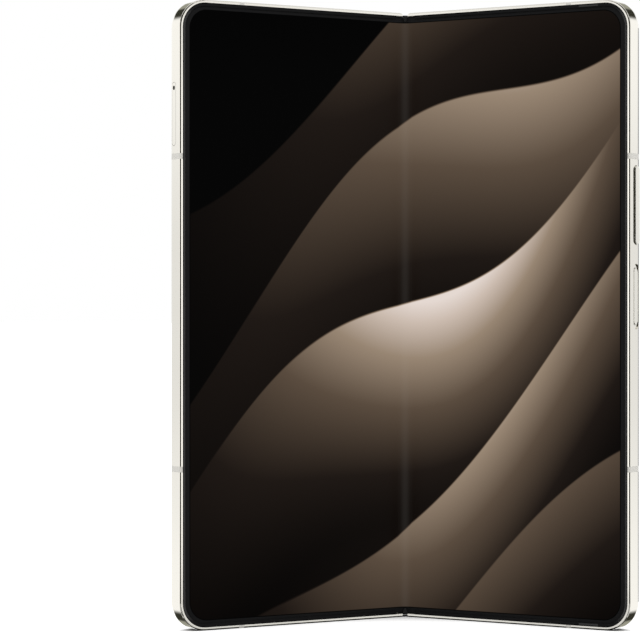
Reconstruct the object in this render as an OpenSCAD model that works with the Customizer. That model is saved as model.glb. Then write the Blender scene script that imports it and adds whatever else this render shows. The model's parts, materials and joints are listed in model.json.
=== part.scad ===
// Foldable smartphone, standing open on its short edge.
//
// Each half is drawn flat: x runs outward from the fold, y = 0 is the screen, +y is the back and
// z runs along the fold. The halves are then turned about their own fold axes into the rest pose.

/* [Body] */
// Width of the open, flat phone
open_w = 129.9; // [124:0.1:136]
// Height of the phone, along the fold
body_h = 154.9; // [150:0.1:162]
// Thickness of a half from the screen to the back
half_t = 6; // [5.9:0.1:7]
// Radius of the outline's corners
corner_r = 7; // [5.5:0.5:9]
// Thickness of the frame's outer wall
wall_t = 1.6; // [1.4:0.1:2]
// Height of the lip above the screen
lip_h = 0.6; // [0.5:0.05:0.8]
// Width of the lip
lip_w = 0.75; // [0.65:0.05:0.9]
// Radius of the frame's front edge
front_edge_r = 0.35; // [0.2:0.05:0.5]
// Radius that rounds the frame and the glass at the back
back_edge_r = 2.5; // [1.8:0.1:2.6]
// Radius of the frame's ends beside the fold
fold_end_r = 0.9; // [0.4:0.1:1]

/* [Screen] */
// Thickness of the folding screen
screen_t = 0.5; // [0.4:0.05:0.6]
// Thickness of the plates under the screen
plate_t = 0.15; // [0.1:0.05:0.2]
// Thickness of the midplate
midplate_t = 0.6; // [0.5:0.05:0.8]
// Distance from the outline to the screen's edge
screen_inset = 1.2; // [1.1:0.05:1.3]
// Width of the raised bezel ring
bezel_w = 0.85; // [0.7:0.05:1]
// Height of the raised bezel ring
bezel_h = 0.5; // [0.3:0.05:0.55]
// Half width of the strip that bends
fold_half_w = 3; // [3:0.1:4.5]

/* [Back glass] */
// Thickness of the back glass and of the cover glass
glass_t = 0.55; // [0.45:0.05:0.6]
// Distance from the outline to the glass edge
glass_inset = 1.1; // [0.9:0.1:1.3]
// Distance from the fold to the glass edge
glass_fold_x = 3.6; // [3:0.1:5]
// Width of the ledge that carries the glass
ledge_w = 2.4; // [2.2:0.1:3]
// Thickness of that ledge
ledge_t = 0.55; // [0.4:0.05:0.7]

/* [Hinge] */
// Angle that each half is turned from flat at rest
rest_turn = 31.1; // [10:0.1:60]
// Depth of the fold axes behind the screen
axis_y = 1.2; // [1.15:0.05:1.3]
// Gap between the two lips when the phone is shut
shut_gap = 0.1; // [0.05:0.05:0.3]
// Outer radius of the spine about each fold axis
spine_r = 4; // [3.9:0.05:4.1]
// Wall of the spine
spine_wall = 0.5; // [0.4:0.05:0.6]
// Depth of the spine's open front behind the screen
spine_front_y = 1.75; // [1.75:0.05:1.9]
// Distance of the spine's ends from the outline
spine_end_gap = 0.4; // [0.3:0.1:0.8]
// Distance of each hinge module from the nearer end of the phone
module_z = 12.9; // [10:0.1:20]
// Gear module, in millimetres per tooth
gear_m = 0.2; // [0.2:0.01:0.2]
// Backlash at each gear mesh
backlash = 0.05; // [0.04:0.01:0.06]
// Thickness of the walls between the sections of a hinge module
section_wall = 1.1; // [0.9:0.1:1.4]
// Length of the sections that hold the arc runners
runner_len = 4.2; // [3.5:0.1:5]
// Length of the section that holds the gear train
train_len = 3.2; // [2.5:0.1:4]
// Length of the friction clips
clip_len = 5; // [3:0.1:6]
// Outer radius of the arc runners
runner_r = 3.2; // [3.1:0.02:3.2]
// Radius of the pinion and idler shafts
shaft_r = 0.4; // [0.3:0.02:0.42]
// Reach of the wings from the fold
wing_x = 12; // [10:0.1:14]
// Thickness of the wings
wing_t = 0.7; // [0.6:0.05:0.7]

/* [Clearances] */
// Fit between pieces that are glued or clipped together
seat_gap = 0.05; // [0.03:0.01:0.06]
// Radial clearance of shafts in their bores
bore_gap = 0.02; // [0.01:0.005:0.05]
// Clearance round the keys and the card tray
key_gap = 0.08; // [0.05:0.01:0.12]
// Clearance between the halves and the spine
spine_gap = 0.15; // [0.12:0.01:0.2]

/* [Cameras] */
// Width of the camera housing
island_w = 15.8; // [15.2:0.1:18]
// Length of the camera housing
island_l = 48.7; // [47:0.1:52]
// Height of the camera housing above the glass
island_h = 1.1; // [0.8:0.1:1.6]
// Distance of the housing from the outer side
island_side = 5.5; // [5:0.1:8]
// Distance of the housing from the top
island_top = 5.9; // [5:0.1:9]
// Distance between neighbouring lenses
lens_pitch = 15.6; // [14.2:0.1:15.8]
// Outer radius of the lens rings
ring_r = 6.7; // [6.3:0.1:6.9]
// Height of the lens rings above the housing
ring_h = 1; // [0.6:0.1:1.2]
// Radius of the lens glasses
lens_r = 5.85; // [5.2:0.05:5.9]
// Radius of the flash window
flash_r = 1.85; // [1.4:0.05:2.2]
// Distance of the flash from the outer side
flash_side = 27.1; // [25:0.1:32]
// Distance of the flash from the top
flash_top = 15; // [10:0.1:24]

/* [Keys and ports] */
// Depth of the keys, tray and ports behind the screen
side_y = 2.75; // [2.65:0.05:2.9]
// Distance from the top to the volume key
volume_top = 40.8; // [36:0.1:44]
// Length of the volume key
volume_l = 19.4; // [16:0.1:20]
// Distance from the top to the power key
power_top = 65.9; // [64:0.1:70]
// Length of the power key
power_l = 14; // [12:0.1:16]
// Width of the keys
key_w = 2.3; // [1.8:0.1:2.4]
// Height of the volume key above the frame
key_proud = 0.35; // [0.2:0.05:0.5]
// Travel of the keys
key_travel = 0.25; // [0.15:0.05:0.3]
// Distance from the top to the card tray
tray_top = 20.4; // [18:0.1:24]
// Length of the card tray's door
tray_l = 15.5; // [14:0.1:17]
// Width of the card tray's door
tray_w = 1.9; // [1.6:0.1:2.2]
// Depth of the card tray
tray_depth = 18; // [15:0.1:22]
// Width of the charging socket's opening
usb_w = 8.94; // [8.9:0.02:9.1]
// Height of the charging socket's opening
usb_h = 3.16; // [3.1:0.02:3.2]
// Depth of the charging socket
usb_depth = 7.3; // [6.5:0.1:8]

/* [Antenna bands] */
// Width of the antenna bands
band_w = 1.4; // [0.8:0.1:1.8]
// Distance from the top to the upper bands
band_top = 37.9; // [36.6:0.1:38.4]
// Distance from the top to the lower bands
band_low = 114.5; // [105:0.1:125]
// Distance from the outer side to the bands in the short edges
band_side = 16.3; // [14:0.1:18]

/* [Hidden] */

$fn = 48;
eps = 0.01;
big = 400;

half_w = open_w / 2;
axis_x = axis_y + lip_h + shut_gap / 2;
plate_y = screen_t;
midplate_y = screen_t + plate_t;
cavity_y = midplate_y + midplate_t;
midplate_x = fold_half_w + 1;
glass_y = half_t - glass_t;
ledge_y = glass_y - ledge_t;
pocket_r = spine_r + spine_gap;
spine_in_r = spine_r - spine_wall;
base_r = spine_in_r - seat_gap;
cap_t = 1.5;

// The frame's front bridge ends where it still clears the spine as the phone shuts.
bridge_back_y = axis_y + 0.15;
bridge_x = axis_x - 0.45;
strip_x = 0.15;
fold_wall_t = 0.6;

// Gear train: the runners carry 24 teeth a turn, the pinions 8 and the idlers 11.
ring_teeth = 24;
pinion_teeth = 8;
idler_teeth = 11;
ring_pr = gear_m * ring_teeth / 2;
pinion_pr = gear_m * pinion_teeth / 2;
idler_pr = gear_m * idler_teeth / 2;
addendum = 0.8 * gear_m;
dedendum = 1.05 * gear_m;
pressure = 25;
pinion_dir = 135;
pinion_x = -axis_x + (ring_pr - pinion_pr) * cos(pinion_dir);
pinion_y = axis_y + (ring_pr - pinion_pr) * sin(pinion_dir);
idler_x = -idler_pr;
train_dir = acos((idler_x - pinion_x) / (pinion_pr + idler_pr));
idler_y = pinion_y + (pinion_pr + idler_pr) * sin(train_dir);

// Angle of one tooth of each gear with the phone flat, carried from mesh to mesh.
pinion_phase = pinion_dir - 0.5 * 360 / pinion_teeth;
idler_phase = 180 + train_dir
  - (0.5 - (train_dir - pinion_phase) * pinion_teeth / 360) * 360 / idler_teeth;
far_idler_phase = 180 - (0.5 + idler_phase * idler_teeth / 360) * 360 / idler_teeth;
far_pinion_phase = 180 - train_dir
  - (0.5 + (train_dir + far_idler_phase) * idler_teeth / 360) * 360 / pinion_teeth;
far_ring_phase = 180 - pinion_dir
  - ((180 - pinion_dir - far_pinion_phase) * pinion_teeth / 360 - 0.5) * 360 / ring_teeth;

// Stations of a hinge module, counted from its outer end.
left_run_z = section_wall;
train_z = left_run_z + runner_len + section_wall;
right_run_z = train_z + train_len + section_wall;
clip_z = right_run_z + runner_len + section_wall;
base_len = clip_z + clip_len + 0.4;
tab_len = 3;

// Bend of the folding strip: an arc that meets both flat panels without a kink.
panel_x = axis_x + (fold_half_w - axis_x) * cos(rest_turn) - axis_y * sin(rest_turn);
panel_y = axis_y - (fold_half_w - axis_x) * sin(rest_turn) - axis_y * cos(rest_turn);
bend_r = panel_x / sin(rest_turn);
bend_y = panel_y + panel_x * tan(rest_turn) - bend_r / cos(rest_turn);
crest_y = bend_y + bend_r;

// The part stands with the middle of its box over the origin.
front_reach = axis_y - (half_w - front_edge_r - axis_x) * sin(rest_turn)
  - (lip_h - front_edge_r + axis_y) * cos(rest_turn) - front_edge_r;
back_reach = axis_y + (axis_x - strip_x) * sin(rest_turn) + (half_t - axis_y) * cos(rest_turn);
shift_y = -(front_reach + back_reach) / 2;

island_x = half_w - island_side - island_w / 2;
island_z = body_h - island_top - island_l / 2;
island_y = half_t + island_h;
neck_inset = 0.8;
barrel_r = lens_r - 0.45;
barrel_y = island_y + ring_h - 0.95;
key_head_in = 1.9;
key_flange = 0.4;
key_flange_t = 0.4;
scoop_depth = 0.35;
tray_plate_t = 1;
battery_y = cavity_y + 0.1;
battery_back_y = ledge_y - 0.4;
board_y = cavity_y + 0.25;
board_t = 0.6;
board_back_y = board_y + board_t;
camera_zone = island_l + island_top + 3;
usb_x = half_w / 2;

ivory = [0.93, 0.91, 0.86];
band_ivory = [0.82, 0.80, 0.75];
glass_cream = [0.95, 0.93, 0.88];
rubber = [0.13, 0.13, 0.14];
steel = [0.6, 0.61, 0.63];
board_green = [0.13, 0.28, 0.2];
cell_black = [0.16, 0.16, 0.17];

// ---------------------------------------------------------------- placing

module half_turned() {
  translate([axis_x, axis_y + shift_y, 0])
    rotate([0, 0, -rest_turn])
      translate([-axis_x, -axis_y, 0])
        children();
}

// The camera half, at the right
module camera_side() {
  half_turned() children();
}

// The cover half is drawn like the camera half and mirrored to the left.
module cover_side() {
  mirror([1, 0, 0]) half_turned() children();
}

module hinge_side() {
  translate([0, shift_y, 0]) children();
}

// Both hinge modules, the upper one a mirror image of the lower one
module both_modules() {
  lower_module() children();
  upper_module() children();
}

module lower_module() {
  translate([0, 0, module_z]) children();
}

module upper_module() {
  translate([0, 0, body_h - module_z]) mirror([0, 0, 1]) children();
}

// ---------------------------------------------------------------- helpers

// Raises a shape drawn as (x, z) from depth y0 to y0 + t
module slab(y0, t) {
  translate([0, y0 + t, 0]) rotate([90, 0, 0]) linear_extrude(t) children();
}

// Raises a shape drawn as (y, z) from x0 outward to x0 + t
module side_slab(x0, t) {
  translate([x0, 0, 0]) rotate([90, 0, 90]) linear_extrude(t) children();
}

// Rectangle with corners a and b
module rect(a, b) {
  translate(a) square(b - a);
}

// Slot with round ends; its length runs along the second axis
module slot(l, w) {
  square([w, l - w], center = true);
  for (s = [-1, 1]) translate([0, s * (l - w) / 2]) circle(w / 2);
}

// Rectangle with round corners
module round_rect(size, r) {
  translate([r, 0]) square([size[0] - 2 * r, size[1]]);
  translate([0, r]) square([size[0], size[1] - 2 * r]);
  for (x = [r, size[0] - r], z = [r, size[1] - r]) translate([x, z]) circle(r);
}

// Outline of a half, moved inward by inset and starting at x0
module outline(inset, x0) {
  corner_x = half_w - corner_r;
  rect([x0, inset], [corner_x, body_h - inset]);
  rect([corner_x - eps, corner_r], [half_w - inset, body_h - corner_r]);
  for (z = [corner_r, body_h - corner_r]) translate([corner_x, z]) circle(corner_r - inset);
}

// Sweeps a profile drawn as (distance from the outline, depth) round the three free edges
module edge_sweep(x0) {
  straight = half_w - corner_r - x0;
  translate([half_w, 0, corner_r])
    linear_extrude(body_h - 2 * corner_r)
      mirror([1, 0])
        children();
  for (upper = [0, 1])
    translate([0, 0, upper * body_h]) mirror([0, 0, 1 - upper]) {
      translate([x0, 0, 0]) rotate([0, 90, 0]) linear_extrude(straight) children();
      translate([half_w - corner_r, 0, -corner_r])
        rotate([90, 0, 0])
          rotate_extrude(angle = 90)
            translate([corner_r, 0]) rotate(180) children();
    }
}

// Pin or hole of radius r along y
module pin_y(x, z, y0, y1, r) {
  translate([x, y0, z]) rotate([-90, 0, 0]) cylinder(h = y1 - y0, r = r);
}

// ---------------------------------------------------------------- frames

module edge_corner(r) {
  difference() {
    square(r);
    translate([r, r]) circle(r);
  }
}

// Section of the frame: lip, wall, glass ledge and the seats of bezel, screen and glass
module frame_profile() {
  difference() {
    union() {
      rect([0, -lip_h], [wall_t, half_t]);
      rect([0, ledge_y], [ledge_w, glass_y]);
    }
    rect([lip_w, -lip_h - 1], [wall_t + 1, 0]);
    rect([screen_inset - seat_gap, -1], [wall_t + 1, midplate_y]);
    rect([glass_inset - seat_gap, glass_y], [ledge_w + 1, half_t + 1]);
    translate([0, -lip_h]) edge_corner(front_edge_r);
    translate([0, half_t]) mirror([0, 1]) edge_corner(back_edge_r);
  }
}

// Room that the spine takes as the half swings, drawn as (x, y)
module spine_room() {
  intersection() {
    union() {
      translate([axis_x, axis_y]) circle(pocket_r);
      rect([-pocket_r, bridge_back_y], [axis_x, axis_y + pocket_r]);
    }
    rect([-pocket_r, bridge_back_y], [big, big]);
  }
}

module frame_body() {
  difference() {
    union() {
      edge_sweep(strip_x) frame_profile();
      slab(midplate_y, midplate_t) outline(wall_t - 0.2, midplate_x);
      translate([0, 0, wall_t - 0.2]) linear_extrude(body_h - 2 * (wall_t - 0.2)) fold_wall();
      both_modules() wing_seat();
    }
    translate([0, 0, -1]) linear_extrude(body_h + 2) spine_room();
    translate([-1, -lip_h - 1, -1]) cube([bridge_x + 1, lip_h + 2 + bridge_back_y, body_h + 2]);
    for (upper = [0, 1]) frame_end_round(upper);
    both_modules() wing_pocket();
    flex_windows();
  }
}

// Wall of the cavity along the spine and the rail beside the glass, drawn as (x, y).
// Both start inside the spine's room, which is cut out of the frame afterwards.
module fold_wall() {
  intersection() {
    difference() {
      translate([axis_x, axis_y]) circle(pocket_r + fold_wall_t);
      translate([axis_x, axis_y]) circle(pocket_r - 0.5);
    }
    rect([axis_x, cavity_y - 0.1], [big, ledge_y + 0.1]);
  }
  rect([strip_x, ledge_y - 0.1], [glass_fold_x - seat_gap, half_t]);
  rect([glass_fold_x - 0.5, ledge_y], [glass_fold_x + 1.6, glass_y]);
}

module frame_end_round(upper) {
  translate([0, 0, upper * body_h]) mirror([0, 0, upper])
    slab(-lip_h - 1, bridge_back_y + lip_h + 2) translate([bridge_x, 0]) edge_corner(fold_end_r);
}

// Block under a wing; its screws bite here
module wing_seat() {
  wing_seat_y = wing_y + wing_t;
  translate([axis_x + pocket_r - 0.2, wing_seat_y, left_run_z - 0.6])
    cube([wing_x + 1 - axis_x - pocket_r, 1, clip_z - left_run_z + 1.2]);
}

// Opening in the midplate that a wing drops into, and the bores of its screws
module wing_pocket() {
  z0 = left_run_z - 0.3;
  translate([midplate_x - 0.5, midplate_y - 1, z0])
    cube([wing_x + seat_gap - midplate_x + 0.5, 1 + wing_y + wing_t - midplate_y, wing_zone + 0.6]);
  wing_screw_places() pin_y(0, 0, wing_y, wing_y + wing_t + 0.8, screw_r);
}

screw_r = 0.5;
wing_y = midplate_y + 0.1;
wing_zone = clip_z - section_wall - left_run_z;

module wing_screw_places() {
  for (k = [0, 1, 2])
    translate([wing_x - 1.6, 0, left_run_z + 1.6 + k * (wing_zone - 3.2) / 2])
      children();
}

// Windows of the flex cables in the midplate
flex_w = 12;
flex_t = 0.12;
flex_reach = 9;
flex_places = [body_h / 2 - 16, body_h / 2 + 16];

module flex_windows() {
  for (z = flex_places)
    slab(midplate_y - 1, midplate_t + 2)
      rect([midplate_x - 0.5, z - flex_w / 2 - 0.4], [flex_reach + 0.6, z + flex_w / 2 + 0.4]);
}

// Cuts for the antenna bands, or the bands themselves with gap = 0
module band_zones(gap) {
  for (d = [band_top, band_low])
    translate([half_w - wall_t - 1, -5, body_h - d - band_w - gap])
      cube([wall_t + 2, 20, band_w + 2 * gap]);
  for (z = [-1, body_h - wall_t + 0.05])
    translate([half_w - band_side - band_w - gap, -5, z])
      cube([band_w + 2 * gap, 20, wall_t + 0.95]);
}

module antenna_bands() {
  intersection() {
    edge_sweep(half_w / 2) band_profile();
    band_zones(-0.01);
  }
}

// The bands fill the wall but leave the ledge and the midplate whole.
module band_profile() {
  intersection() {
    frame_profile();
    rect([-1, -lip_h - 1], [wall_t - 0.25, ledge_y]);
  }
}

module band_cut() {
  intersection() {
    translate([0, -lip_h - 1, -1]) cube([big, ledge_y + lip_h + 1, body_h + 2]);
    difference() {
      band_zones(0);
      slab(-lip_h - 2, half_t + 4) outline(wall_t - 0.25, -1);
    }
  }
}

module camera_frame() {
  color(ivory) camera_side() difference() {
    frame_body();
    band_cut();
    key_hole(volume_top, volume_l);
    key_hole(power_top, power_l);
    power_scoop();
    usb_hole(usb_w + 2 * seat_gap, usb_h + 2 * seat_gap, -1, usb_depth + 0.2);
    speaker_holes(half_w - 25, 6);
    translate([usb_x - 10, side_y, -1]) cylinder(h = wall_t + 2, r = 0.45);
    translate([half_w - 22, side_y, body_h - wall_t - 1]) cylinder(h = wall_t + 2, r = 0.45);
    pad_slots();
  }
}

module cover_frame() {
  color(ivory) cover_side() difference() {
    frame_body();
    band_cut();
    tray_hole();
    translate([0, 0, body_h - wall_t - 1]) speaker_row(half_w - 25, 6);
    translate([half_w - 22, side_y, -1]) cylinder(h = wall_t + 2, r = 0.45);
  }
}

module speaker_row(x0, count) {
  for (k = [0 : count - 1])
    translate([x0 + 2 * k, side_y, 0]) cylinder(h = wall_t + 2, r = 0.6);
}

module speaker_holes(x0, count) {
  translate([0, 0, -1]) speaker_row(x0, count);
}

// ---------------------------------------------------------------- bezels and screen

module bezel_profile() {
  difference() {
    rect([lip_w + seat_gap, -bezel_h], [lip_w + seat_gap + bezel_w, 0]);
    translate([lip_w + seat_gap + bezel_w, -bezel_h]) mirror([1, 0]) edge_corner(bezel_h * 0.6);
  }
}

bezel_end_x = fold_half_w + 0.5;
tail_h = 0.12;

// The ring ends short of the fold and runs on as a thin tail over the frame's shelf.
module bezel_ring() {
  edge_sweep(bezel_end_x) bezel_profile();
  for (upper = [0, 1])
    translate([0, 0, upper * body_h]) mirror([0, 0, upper])
      slab(-tail_h, tail_h)
        rect([bridge_x + 0.1, lip_w + seat_gap], [bezel_end_x + eps, screen_inset - seat_gap]);
}

module cover_bezel() {
  color(rubber) cover_side() bezel_ring();
}

module camera_bezel() {
  color(rubber) camera_side() difference() {
    bezel_ring();
    pad_slots();
  }
}

module screen_panel() {
  slab(0, screen_t) outline(screen_inset, fold_half_w);
}

module main_display_left() {
  color([0.05, 0.045, 0.04]) cover_side() screen_panel();
}

module main_display_right() {
  color([0.35, 0.28, 0.22]) camera_side() screen_panel();
}

// Arc of given radius and thickness about the bend's centre, drawn as (x, y)
module bend_arc(r, t) {
  reach = r + 2;
  intersection() {
    difference() {
      circle(r + t);
      circle(r);
    }
    polygon([[0, 0], [-reach * tan(rest_turn), reach], [reach * tan(rest_turn), reach]]);
  }
}

module main_display_fold() {
  color([0.5, 0.42, 0.35]) hinge_side()
    translate([0, bend_y, screen_inset])
      linear_extrude(body_h - 2 * screen_inset)
        bend_arc(bend_r, screen_t);
}

// Place of a point of the camera half at rest, drawn as (x, y)
function at_rest(x, y) = [
  axis_x + (x - axis_x) * cos(rest_turn) + (y - axis_y) * sin(rest_turn),
  axis_y - (x - axis_x) * sin(rest_turn) + (y - axis_y) * cos(rest_turn)
];

flex_steps = 8;

// Line at depth y under the screen, from the right half round the bend to the left half
function flex_line(y) = [
  at_rest(flex_reach, y),
  for (k = [-flex_steps : flex_steps])
    let (turn = -k * rest_turn / flex_steps)
      [(bend_r + y) * sin(turn), bend_y + (bend_r + y) * cos(turn)],
  [-at_rest(flex_reach, y)[0], at_rest(flex_reach, y)[1]]
];

// Flex cables run behind the bend and end under the midplates.
module hinge_flex_cables() {
  flex_y = midplate_y + 0.05;
  front = flex_line(flex_y);
  back = flex_line(flex_y + flex_t);
  color([0.75, 0.45, 0.15]) hinge_side() for (z = flex_places)
    translate([0, 0, z - flex_w / 2]) linear_extrude(flex_w)
      polygon(concat(front, [for (k = [len(back) - 1 : -1 : 0]) back[k]]));
}

module screen_plate() {
  slab(plate_y, plate_t) outline(screen_inset + 0.1, fold_half_w + 0.2);
}

module cover_screen_plate() {
  color(steel) cover_side() screen_plate();
}

module camera_screen_plate() {
  color(steel) camera_side() screen_plate();
}

// Two small pads in the bezel of the camera half, near the short edges
pad_x = 50.8;
pad_l = 5.3;
pad_w = 0.45;

module pad_bars(gap, y0, t) {
  for (upper = [0, 1])
    translate([0, 0, upper * body_h]) mirror([0, 0, upper])
      slab(y0, t) translate([pad_x - gap, lip_w + seat_gap + 0.2])
        square([pad_l + 2 * gap, pad_w + gap]);
}

module pad_slots() {
  pad_bars(0.02, -bezel_h - 1, 1 + bezel_h - 0.2);
}

module bezel_pads() {
  color([0.3, 0.3, 0.3]) camera_side() pad_bars(0, -bezel_h - 0.05, bezel_h - 0.15);
}

// ---------------------------------------------------------------- glass

// Edge of a glass, rounded with the frame's back edge
module glass_profile() {
  difference() {
    rect([glass_inset, glass_y], [back_edge_r + 0.3, half_t]);
    translate([0, half_t]) mirror([0, 1]) edge_corner(back_edge_r);
  }
}

module glass_sheet() {
  edge_sweep(glass_fold_x) glass_profile();
  slab(glass_y, glass_t) outline(back_edge_r + 0.2, glass_fold_x);
}

module cover_glass() {
  color([0.06, 0.06, 0.07]) cover_side() glass_sheet();
}

module back_glass() {
  color(glass_cream) camera_side() difference() {
    glass_sheet();
    slab(glass_y - 1, glass_t + 2) island_shape(neck_inset - seat_gap);
    pin_y(half_w - flash_side, body_h - flash_top, glass_y - 1, half_t + 1, flash_r + seat_gap);
  }
}

// ---------------------------------------------------------------- cameras

module island_shape(inset) {
  translate([island_x, island_z]) slot(island_l - 2 * inset, island_w - 2 * inset);
}

module lens_places() {
  for (k = [-1, 0, 1])
    translate([island_x, 0, island_z + k * lens_pitch]) children();
}

module camera_housing() {
  edge = 0.3;
  color(glass_cream) camera_side() difference() {
    union() {
      slab(half_t, island_h - edge) island_shape(0);
      slab(half_t, island_h) island_shape(edge);
      slab(ledge_y, half_t - ledge_y + edge) island_shape(neck_inset);
    }
    lens_places() pin_y(0, 0, ledge_y - 1, island_y + 1, barrel_r + seat_gap);
  }
}

module lens_rings() {
  color([0.9, 0.88, 0.83]) camera_side() lens_places()
    translate([0, island_y, 0]) rotate([-90, 0, 0]) difference() {
      union() {
        cylinder(h = ring_h - 0.25, r = ring_r);
        translate([0, 0, ring_h - 0.25]) cylinder(h = 0.25, r1 = ring_r, r2 = ring_r - 0.25);
      }
      translate([0, 0, -1]) cylinder(h = ring_h + 2, r = lens_r - 0.25);
      translate([0, 0, lens_seat]) cylinder(h = ring_h, r = lens_r + seat_gap);
    }
}

lens_seat = 0.35;
lens_t = 0.5;

module lens_glasses() {
  color([0.05, 0.05, 0.06]) camera_side() lens_places()
    pin_y(0, 0, island_y + lens_seat, island_y + lens_seat + lens_t, lens_r);
}

module camera_modules() {
  box = 2 * barrel_r;
  color([0.12, 0.12, 0.13]) camera_side() lens_places() difference() {
    union() {
      translate([-box / 2, cavity_y + 0.1, -box / 2])
        cube([box, ledge_y - 0.3 - cavity_y, box]);
      pin_y(0, 0, ledge_y - 0.5, barrel_y, barrel_r);
    }
    translate([0, barrel_y - 1.2, 0]) rotate([-90, 0, 0])
      cylinder(h = 1.2 + eps, r1 = 2.1, r2 = barrel_r - 0.7);
  }
}

module camera_elements() {
  color([0.15, 0.2, 0.4]) camera_side() lens_places()
    translate([0, barrel_y - 1.2, 0]) rotate([-90, 0, 0]) intersection() {
      cylinder(h = 1, r = 1.8);
      translate([0, 0, -2.2]) sphere(r = 2.9);
    }
}

module flash_window() {
  color([0.95, 0.93, 0.8]) camera_side()
    pin_y(half_w - flash_side, body_h - flash_top, glass_y - 0.1, half_t, flash_r);
}

module flash_led() {
  color([0.95, 0.85, 0.3]) camera_side()
    translate([half_w - flash_side - 1, glass_y - 0.8, body_h - flash_top - 1]) cube([2, 0.6, 2]);
}

// ---------------------------------------------------------------- keys

module key_hole(top, l) {
  side_slab(half_w - wall_t - 1, wall_t + 2)
    translate([side_y, body_h - top - l / 2]) slot(l + 2 * key_gap, key_w + 2 * key_gap);
}

// Shallow dish round the power key
module power_scoop() {
  side_slab(half_w - scoop_depth, scoop_depth + 1)
    translate([side_y, body_h - power_top - power_l / 2]) slot(power_l + 2, key_w + 0.7);
}

// A key with the flange that keeps it in the frame; its outer face lies at x = face
module side_key(top, l, face) {
  mid_z = body_h - top - l / 2;
  inner = half_w - wall_t - key_gap;
  soft = 0.15;
  side_slab(inner - eps, face - soft - inner + eps) translate([side_y, mid_z]) slot(l, key_w);
  side_slab(face - soft - eps, soft + eps)
    translate([side_y, mid_z]) slot(l - 2 * soft, key_w - 2 * soft);
  side_slab(inner - key_flange_t, key_flange_t)
    translate([side_y, mid_z]) square([key_w + 0.1, l - 1], center = true);
  for (s = [-1, 1])
    translate([inner - key_flange_t, side_y - key_w / 2, mid_z + s * (l / 2 + key_flange) - 0.5])
      cube([key_flange_t, key_w, 1]);
  side_slab(inner - key_flange_t, key_flange_t)
    translate([side_y, mid_z]) square([key_w, l + 0.2], center = true);
}

module volume_key() {
  color(ivory) camera_side() side_key(volume_top, volume_l, half_w + key_proud);
}

module power_key() {
  color(ivory) camera_side() side_key(power_top, power_l, half_w - 0.1);
}

// Dome switches on a strip behind the keys
module key_switches() {
  dome_x = half_w - wall_t - key_gap - key_flange_t - key_travel - 0.05;
  tops = [volume_top + 0.22 * volume_l, volume_top + 0.78 * volume_l, power_top + power_l / 2];
  color([0.7, 0.6, 0.3]) camera_side() {
    for (t = tops)
      translate([dome_x - 0.35, side_y, body_h - t]) rotate([0, 90, 0])
        cylinder(h = 0.35, r = 0.8);
    translate([dome_x - 0.55, cavity_y, body_h - power_top - power_l])
      cube([0.2 + eps, 3, power_top + power_l - volume_top]);
  }
}

// ---------------------------------------------------------------- card tray

tray_mid_z = body_h - tray_top - tray_l / 2;
tray_inner_l = tray_l - 1.6;

module tray_hole() {
  side_slab(half_w - wall_t - 1, wall_t + 2)
    translate([side_y, tray_mid_z]) slot(tray_l + 2 * key_gap, tray_w + 2 * key_gap);
}

module card_tray() {
  door_in = wall_t - 0.2;
  color(ivory) cover_side() difference() {
    union() {
      side_slab(half_w - door_in, door_in) translate([side_y, tray_mid_z]) slot(tray_l, tray_w);
      translate([half_w - tray_depth, side_y - tray_plate_t / 2, tray_mid_z - tray_inner_l / 2])
        cube([tray_depth - door_in + eps, tray_plate_t, tray_inner_l]);
    }
    // Pinhole of the release pin and the bed of the card
    side_slab(half_w - door_in - 1, door_in + 2)
      translate([side_y, body_h - tray_top - 1.35]) circle(0.55);
    translate([half_w - tray_depth + 1.5, side_y - 0.2, tray_mid_z - 4.5]) cube([12.4, 5, 9]);
    translate([half_w - tray_depth + 3, side_y - 5, tray_mid_z - 3]) cube([9.4, 10, 6]);
  }
}

module card_reader() {
  reader_t = 0.3;
  inner = [tray_depth - 2.6 + 0.5, tray_plate_t + 0.4, tray_inner_l + 0.4];
  place = [half_w - tray_depth - 0.5, side_y - inner[1] / 2, tray_mid_z - inner[2] / 2];
  color(steel) cover_side() difference() {
    translate(place - [reader_t, reader_t, reader_t])
      cube([inner[0] + reader_t, inner[1] + 2 * reader_t, inner[2] + 2 * reader_t]);
    translate(place) cube(inner + [1, 0, 0]);
  }
}

// ---------------------------------------------------------------- hinge

// Section of the spine: a run round both fold axes, open at the front, drawn as (x, y)
module spine_shape(r) {
  intersection() {
    union() {
      for (s = [-1, 1]) translate([s * axis_x, axis_y]) circle(r);
      rect([-axis_x, axis_y], [axis_x, axis_y + r]);
    }
    rect([-big, spine_front_y], [big, big]);
  }
}

module spine_cover() {
  color(ivory) hinge_side() difference() {
    translate([0, 0, spine_end_gap]) linear_extrude(body_h - 2 * spine_end_gap) difference() {
      spine_shape(spine_r);
      spine_shape_open(spine_in_r);
    }
    both_modules() spine_screw_places() pin_y(0, 0, 3, axis_y + spine_in_r + 0.3, 0.4);
  }
}

// The same run, cut further forward so that the spine's mouth stays open
module spine_shape_open(r) {
  for (s = [-1, 1]) translate([s * axis_x, axis_y]) circle(r);
  rect([-axis_x, spine_front_y - 1], [axis_x, axis_y + r]);
}

module spine_end_caps() {
  color([0.35, 0.35, 0.36]) hinge_side() for (z = [spine_end_gap, body_h - spine_end_gap - cap_t])
    translate([0, 0, z]) linear_extrude(cap_t) spine_shape(spine_in_r);
}

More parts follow.
